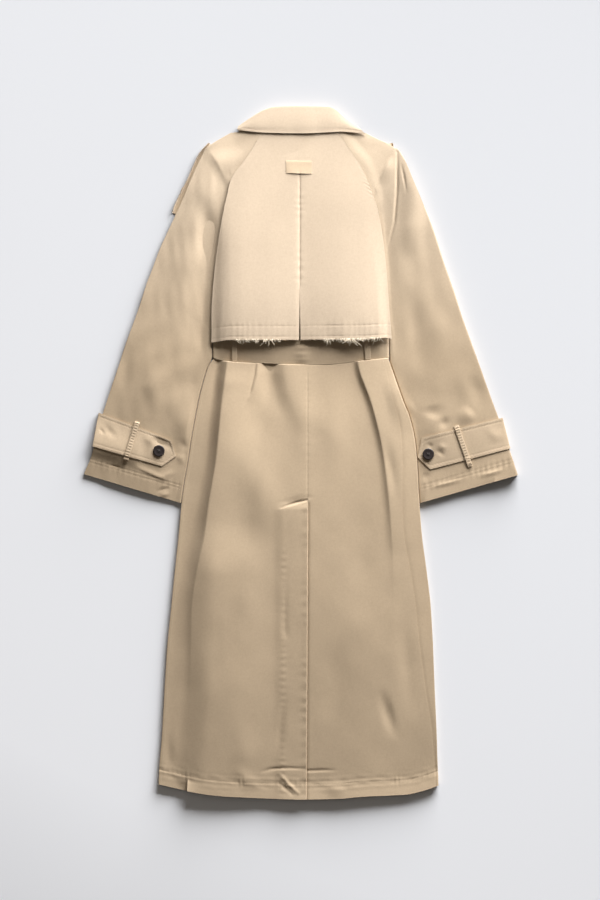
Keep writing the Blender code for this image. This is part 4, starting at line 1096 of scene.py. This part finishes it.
def band(node, centres, width, heights, wall=WALL, bumps=0):
    """A short strip of cloth along centres (x, y), with a height at each place."""
    along = np.gradient(centres, axis=0)
    across = np.stack((-along[:, 1], along[:, 0]), axis=1) / np.linalg.norm(along, axis=1, keepdims=True)
    shares = np.linspace(-0.5, 0.5, 9)
    xy = centres[:, None] + shares[:, None] * width * across[:, None]
    run = np.arange(len(centres)) * np.hypot(*(centres[-5] - centres[4])) / (len(centres) - 9)
    ripple = bumps * np.cos(math.pi * shares) ** 2 * np.sin(2 * math.pi * run / 4.9)[:, None]
    z = heights[:, None] - 0.3 * ease((np.abs(shares) - 0.36) / 0.14) + ripple
    return cloth(node, np.concatenate((xy, z[..., None]), axis=2), "trim_cloth", wall=wall)


def make_belt_loop(side):
    first, last = BELT_LOOP[side]
    middle = 0.5 * (first + last)
    low = float(belt_low(middle))
    over = BACK_TOP + 2 * STEP
    inner_y = np.linspace(BELT_TOP_Y + 1.2, low - 1.2, 16)
    y = np.concatenate(((BELT_TOP_Y + 4, BELT_TOP_Y + 2.6), inner_y, (low - 2.6, low - 4)))
    share = np.linspace(0, 1, len(y))
    bow = 1.4 * np.sin(np.pi * share) ** 0.5
    heights = over + 3.8 * np.clip((y - low) / (BELT_TOP_Y - low), 0, 1) + bow
    heights[[0, -1]] = over - STEP
    heights[[1, -2]] = over - 0.7
    heights[:2] += 1
    tilt = 1.5 if side == "right" else 0
    centres = np.stack((middle + tilt * (2 * share - 1), y), axis=1)
    item = band("belt_loop_" + side, centres, last - first, heights)
    return item


def make_neck_tab(height):
    x0, x1, y0, y1 = NECK_TAB
    grid = np.zeros((14, 26, 3))
    for i, down in enumerate(np.linspace(0, 1, 14)):
        for j, share in enumerate(np.linspace(0, 1, 26)):
            x = x0 + share * (x1 - x0) + 0.6 * down
            y = y1 + down * (y0 - y1) - 1.2 * share
            bow = math.sin(math.pi * share) ** 0.7
            stand = 1.3 * bow * down**2.2 - 0.5 * (1 - ease(down / 0.12))
            grid[i, j] = (x, y, (height(x, y) or 8.2) + 0.62 + stand)
    item = cloth("neck_tab", grid, "trim_cloth", wall=0.55, flat_rim=True)
    return item


# Cuff straps

def make_cuff_strap(side, height):
    columns = CUFF_STRAP[side]
    steps = np.linspace(0, 1, 47)
    points = np.stack([np.interp(steps, columns["y"], columns[name]) for name in list(columns)[1:]], axis=1)
    top = BACK_TOP + STEP
    radius = 0.5 * top
    wide = np.hypot(*(points[0] - points[-1])[:2])
    count = 120
    out_share, up_share = round_edge(12)
    outer = []
    for v, out, end in zip(steps, points[:, :2], points[:, 2:]):
        length = np.hypot(*(out - end))
        across = (out - end) / length
        under = (STRAP_UNDER_X[side] - end[0]) / across[0]
        s_top = np.linspace(0, length - radius, count)
        place = end + s_top[:, None] * across
        lifted = [max(0, (height(x, y) or BACK_TOP) - BACK_TOP) for x, y in place[::4]]
        lifted = np.interp(np.arange(count), np.arange(count)[::4], lifted)
        from_side = wide * min(v, 1 - v)
        from_rim = np.minimum(from_side, 1.1 * s_top + 0.15)
        welt = 0.12 * bump(from_rim, 2.6, 2.4) - 0.24 * bump(from_rim, 6.2, 1.2)
        along = np.where(from_side < s_top, s_top, wide * v)
        ripple = 0.1 * np.sin(2 * math.pi * along / 5.6 + 1.3 * np.sin(along / 17)) * bump(from_rim, 4.6, 2.6)
        small = creases(*place.T, STRAP_CREASES[side]) * ease(from_rim / 8)
        s_low = np.linspace(length - radius, under, 14)[1:]
        s = np.concatenate((s_top, length - radius + radius * out_share, s_low))
        z_round = 0.5 * (top + lifted[-1]) * (1 + up_share)
        z = np.concatenate((top + lifted + welt + ripple + small, z_round, 0 * s_low))
        outer.append(np.column_stack((end + s[:, None] * across, z)))
    item = cloth("cuff_strap_" + side, np.array(outer), "trim_cloth", (23, 50))
    return item


def make_strap_loop(side, height):
    start, end = np.array(STRAP_LOOP[side])
    length = np.linalg.norm(end - start)
    s = np.concatenate(((-3.2, -1.6), np.linspace(0, length, 72), (length + 1.6, length + 3.2)))
    centres = start + s[:, None] * unit(end - start)
    heights = np.array([(height(x, y) or BACK_TOP) + WALL + 1.1 for x, y in centres])
    heights[2:-2] = np.maximum(heights[2:-2], heights[4:-4].mean())
    item = band("strap_loop_" + side, centres, STRAP_LOOP_WIDTH, heights, bumps=0.35)
    return item


def make_button(side, height):
    """Turned button with a rounded rim, a dished middle and a raised thread cross."""
    x, y = CUFF_BUTTON[side]
    base = (height(x, y) or BACK_TOP) + GAP
    sides = 56
    points = []
    for radius, z in BUTTON_PROFILE:
        for k in range(sides):
            angle = 2 * math.pi * k / sides
            reach = BUTTON_RADIUS * radius
            place = (x + reach * math.cos(angle), y + reach * math.sin(angle), base + z * BUTTON_THICKNESS)
            points.append(place)
    faces = ring_faces(0, len(BUTTON_PROFILE), sides)
    body = new_object("button_" + side, points, faces, "dark_button")
    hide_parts("cuff_button_" + side)
    points = []
    faces = []
    t = np.linspace(0, 1, 6)
    pz = base + 0.88 * BUTTON_THICKNESS + 0.1 + 0.75 * np.sin(np.pi * t)
    for ax, ay in ((2.3, 2.3), (2.3, -2.3)):
        for shift in (-0.45, 0, 0.45):
            px = x + ax - 2 * ax * t - shift * np.sign(ay * ax)
            py = y + ay - 2 * ay * t + shift
            tube(points, faces, np.stack((px, py, pz), axis=1), 0.36)
    new_object("button_thread_" + side, points, faces, "button_thread")


# Epaulettes

def make_epaulette(side):
    line = np.array(EPAULETTE[side])
    steps = np.linspace(0, len(line) - 1, 46)
    columns = {"y": np.arange(len(line), dtype=float), "px": line[:, 0], "py": line[:, 1]}
    edge = np.stack((smooth(columns, "px", steps), smooth(columns, "py", steps)), axis=1)
    along = np.gradient(edge, axis=0)
    along /= np.linalg.norm(along, axis=1, keepdims=True)
    inward = -SIDES[side] * np.stack((-along[:, 1], along[:, 0]), axis=1)
    reach = EPAULETTE_WIDTH * (1 - 0.4 * ease(steps - 3))
    shares = np.concatenate((np.linspace(0, 0.04, 7)[:-1], np.linspace(0.04, 1, 14)))
    xy = edge[:, None] + inward[:, None] * reach[:, None, None] * shares[:, None]
    curl = 5.6 * (1 - ease(shares / 0.036))
    z = THIN + curl + EPAULETTE_Z * ease((shares - 0.1) / 0.3) + 0 * xy[..., 0]
    outer = np.concatenate((xy, z[..., None]), axis=2)
    item = cloth("epaulette_" + side, outer, "trim_cloth", wall=THIN, flat_rim=True)


def make_epaulette_loop(side):
    along = np.array((0.42 * SIDES[side], -0.91))
    centre = EPAULETTE_LOOP[side] + 0.5 * EPAULETTE_LOOP_WIDTH * along
    shares = np.linspace(-0.03, 1.03, 16)
    centres = centre - SIDES[side] * turned(along) * (EPAULETTE_WIDTH * shares)[:, None]
    heights = np.full(len(shares), float(THIN))
    item = band("epaulette_loop_" + side, centres, EPAULETTE_LOOP_WIDTH, heights, THIN - 0.3)


# Threads

def make_fray(side, edge_points):
    """Loose threads along the flap's raw lower edge, in uneven tufts."""
    first, last, count, seed = FRAY_RUN[side]
    rng = np.random.default_rng(seed)
    points = []
    faces = []
    for _ in range(count):
        x = rng.uniform(first - 2, last + 2)
        tuft = 0.5 + 0.5 * math.sin(0.21 * x + 1) * math.sin(0.083 * x)
        length = rng.uniform(2, 12.5) * tuft + 1.5
        y, z = edge_points(x)
        lean = rng.normal(0, 0.6)
        curl = rng.normal(0, 1.6)
        lift = rng.uniform(-0.2, 1.1)
        t = np.linspace(0, 1, 8)
        px = x + lean * length * t + curl * np.sin(3.4 * t) * t
        py = y + 1.6 - (length + 1) * t + 0.5 * curl * np.sin(4 * t) * t
        pz = np.maximum(BACK_TOP + STEP + 0.5, z + lift * np.sin(2.2 * t) - 0.12 * length * t * t)
        tube(points, faces, np.stack((px, py, pz), axis=1), rng.uniform(0.24, 0.38))
    item = new_object("frayed_threads_" + side, points, faces, "frayed_thread")
    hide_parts("frayed_edge_" + side)


def make_raw_edge(edge_points):
    """Short broken fibres along the whole raw edge, which make it look pale."""
    rng = np.random.default_rng(17)
    points = []
    faces = []
    for _ in range(900):
        x = rng.uniform(-158, 163)
        if abs(x - FLAP_CENTRE_X) < 2.5:
            continue
        y, z = edge_points(x)
        length = rng.uniform(0.6, 2.2)
        lean = rng.normal(0, 0.8)
        z = z - rng.uniform(0, 1.1)
        line = [(x, y + 0.6, z), (x + 0.5 * lean, y - 0.4 * length, z + 0.1), (x + lean, y - length, z - 0.4)]
        tube(points, faces, line, 0.18, 3)
    new_object("raw_edge_fibres", points, faces, "frayed_thread")


# Build

backs = [make_back(side) for side in SIDES]
fronts = [make_front(side) for side in SIDES]
sleeves = {side: make_sleeve(side) for side in SIDES}
belt = make_belt()
belt_loops = [make_belt_loop(side) for side in SIDES]
flaps = {side: make_flap(side) for side in SIDES}
collar = make_collar()
for side in SIDES:
    make_collar_point(side)
bpy.context.view_layer.update()
flap_height = surface_of(*flaps.values())
neck_tab = make_neck_tab(flap_height)
straps = {}
strap_loops = {}
for side in SIDES:
    straps[side] = make_cuff_strap(side, surface_of(sleeves[side]))
    strap_loops[side] = make_strap_loop(side, surface_of(straps[side], sleeves[side]))
    make_button(side, surface_of(straps[side]))
    make_epaulette(side)
    make_epaulette_loop(side)


def flap_edge(x):
    """Place of the flap's lower edge at x."""
    low = float(smooth(FLAP_LOW, "low", x))
    for step in (1.5, 3, 5):
        z = flap_height(x, low + step)
        if z is not None:
            return low, z - 0.1
    return low, BACK_TOP + STEP + 2


for side in SIDES:
    make_fray(side, flap_edge)
make_raw_edge(flap_edge)


# Stitching

def flap_stitches():
    rows = Stitches(flap_height)
    xs = np.arange(-156, 161, 2)
    for place in FLAP_STITCH_Y:
        for part in (xs[xs <= -3], xs[xs >= 2.5]):
            rows.row(np.stack((part, place + smooth(FLAP_LOW, "low", part) - FLAP_MEAN_LOW), axis=1))
    ys = np.arange(570, 206, -3)
    for side, sign in SIDES.items():
        inset = edge_x(side, ys) + sign * smooth(FLAP, side, ys) - sign * 5
        rows.row(np.stack((inset, ys), axis=1))
    x0, x1, y0, y1 = NECK_TAB
    rows.height = surface_of(neck_tab, *flaps.values())
    rows.row([(x0 + 2, y1 - 1.5), (x0 + 2.2, y0 + 1)])
    rows.row([(x1 - 2, y1 - 2.5), (x1 - 1.8, y0 - 0.5)])
    rows.finish("flap_stitching")


def skirt_stitches():
    rows = Stitches(surface_of(*backs, *fronts))
    xs = np.arange(-247, 246, 2)
    rows.row(np.stack((xs, hem_line_y(xs)), axis=1))
    ys = np.arange(-100, -600, -3)
    rows.row(np.stack((centre_x(ys) - 4, ys), axis=1))
    rows.row([(-33, -102), (11, -91.5)])
    rows.row([(-35, -585), (-9, -617)])
    rows.finish("skirt_stitching")


def sleeve_stitches(side):
    rows = Stitches(surface_of(sleeves[side]))
    sign = SIDES[side]
    inner = np.array((edge_x(side, CUFF_Y) + sign * 6, CUFF_Y))
    outer = np.array((SLEEVE[side + "_x"][-1] - sign * 6, SLEEVE[side + "_y"][-1]))
    up = turned(unit(outer - inner)) * sign
    for off in CUFF_STITCH_OFF:
        rows.row([inner + up * off, outer + up * off])
    ys = np.arange(572, FLAP_SEWN_TO[side], -3)
    rows.row(np.stack((edge_x(side, ys) + sign * 4, ys), axis=1))
    rows.finish("sleeve_%s_stitching" % side)


def inset_line(line, centre, inset):
    """A line moved toward the centre of the shape that it goes round."""
    moved = []
    for before, here, after in zip(line[:1] + line[:-1], line, line[1:] + line[-1:]):
        pull = np.zeros(2)
        for edge in (after - here, here - before):
            if edge.any():
                normal = turned(unit(edge))
                pull += normal if normal @ (centre - here) >= 0 else -normal
        size = np.linalg.norm(pull)
        scale = inset * 2 / size**2 if size > 1.2 else inset / size
        moved.append(here + pull * min(scale, 1.6 * inset))
    return moved


def strap_stitches(side):
    rows = Stitches(surface_of(straps[side], strap_loops[side]))
    columns = CUFF_STRAP[side]
    out = np.stack((columns["out_x"], columns["out_y"]), axis=1)
    end = np.stack((columns["end_x"], columns["end_y"]), axis=1)
    for inset in (2.6, 6.8):
        rows.row(inset_line([out[0], end[0], end[2], end[4], out[4]], 0.5 * (out[0] + end[-1]), inset))
    start, finish = np.array(STRAP_LOOP[side])
    along = unit(finish - start)
    across = turned(along)
    for off in (-2.8, 2.8):
        rows.row([start + across * off, finish + across * off])
    for place in (start + 1.2 * along, finish - 1.2 * along):
        rows.bar(place - across * 3.6, place + across * 3.6)
    rows.finish("strap_%s_stitching" % side, "trim_cloth")


def belt_stitches():
    rows = Stitches(surface_of(belt))
    xs = np.arange(-150, 153, 2)
    for share in BELT_STITCH:
        rows.row(np.stack((xs, BELT_TOP_Y + share * (belt_low(xs) - BELT_TOP_Y)), axis=1))
    rows.height = surface_of(*belt_loops)
    for first, last in BELT_LOOP.values():
        low = float(belt_low(0.5 * (first + last)))
        for x in (first + 2, last - 2):
            rows.row([(x, BELT_TOP_Y + 1), (x, low - 1)])
        rows.bar((first + 1.5, low + 1.2), (last - 1.5, low + 1.2))
    rows.finish("belt_stitching", "trim_cloth")


def collar_stitches():
    rows = Stitches(surface_of(collar))
    steps = np.linspace(0.35, 11.65, 70)
    rows.row(np.stack((smooth(COLLAR, "edge_x", steps), smooth(COLLAR, "edge_y", steps) + 4.5), axis=1))
    rows.finish("collar_stitching")


flap_stitches()
skirt_stitches()
belt_stitches()
collar_stitches()
for side in SIDES:
    sleeve_stitches(side)
    strap_stitches(side)


# Floor, lights and camera

PHOTO_HEIGHT_PX = 900
PHOTO_MM_PER_PX = 1.8
CAMERA_HEIGHT = 6
VIEW_CENTRE = (0, 0.0045)
SENSOR = 24
KEY_PLACE = (1.12, 2.45, 0.88)
FLOOR_SHARE = (0.68, 0.69, 0.72)
FLOOR_KEY = 14.1
FLOOR_FILL = 0.13
FLOOR_HALF = 6


def floor_material():
    """Pale matt surface, with a tone that evens out the light's falling off."""
    made, tree, shader = nodes_of("pale floor", (0.8, 0.81, 0.83), 0.9, {"Specular IOR Level": 0.1})
    away = add(tree, "VectorMath", {0: object_place(tree), 1: KEY_PLACE}, operation="DISTANCE")
    light = maths(tree, "DIVIDE", FLOOR_KEY, maths(tree, "POWER", away.outputs["Value"], 2.45))
    light = maths(tree, "MAXIMUM", maths(tree, "ADD", light, FLOOR_FILL), max(FLOOR_SHARE) / 0.92)
    shares = {i: maths(tree, "DIVIDE", share, light) for i, share in enumerate(FLOOR_SHARE)}
    tree.links.new(add(tree, "CombineColor", shares).outputs[0], shader.inputs["Base Color"])
    return made


def place_item(name, data, place):
    item = bpy.data.objects.new(name, data)
    item.location = place
    bpy.context.scene.collection.objects.link(item)
    return item


def make_floor():
    mesh = bpy.data.meshes.new("floor")
    corners = [(FLOOR_HALF * x, FLOOR_HALF * y, 0) for x, y in ((-1, -1), (1, -1), (1, 1), (-1, 1))]
    mesh.from_pydata(corners, [], [(0, 1, 2, 3)])
    mesh.materials.append(floor_material())
    place_item("floor", mesh, (0, 0, -0.0004))


def area_light(name, place, size, power, colour):
    """A rectangular light that points at the coat's middle."""
    data = bpy.data.lights.new(name, "AREA")
    data.shape = "RECTANGLE"
    data.size, data.size_y = size
    data.energy = power
    data.color = colour
    item = place_item(name, data, place)
    item.rotation_euler = (-Vector(place)).to_track_quat("-Z", "Y").to_euler()


def make_camera():
    data = bpy.data.cameras.new("camera")
    data.sensor_fit = "VERTICAL"
    data.sensor_height = SENSOR
    data.lens = SENSOR * CAMERA_HEIGHT / (PHOTO_HEIGHT_PX * PHOTO_MM_PER_PX * MM)
    data.clip_end = 50
    bpy.context.scene.camera = place_item("camera", data, (*VIEW_CENTRE, CAMERA_HEIGHT))


def make_world():
    world = bpy.data.worlds.new("studio")
    world.use_nodes = True
    back = world.node_tree.nodes["Background"]
    back.inputs["Color"].default_value = (1, 0.91, 0.80, 1)
    back.inputs["Strength"].default_value = 0.075
    bpy.context.scene.world = world


make_floor()
area_light("key", KEY_PLACE, (2.4, 1.7), 400, WHITE)
area_light("fill", (-0.3, 0.2, 2.6), (2.6, 2.6), 5.6, (1, 0.90, 0.78))
make_world()
make_camera()
bpy.context.scene.view_settings.view_transform = "Standard"
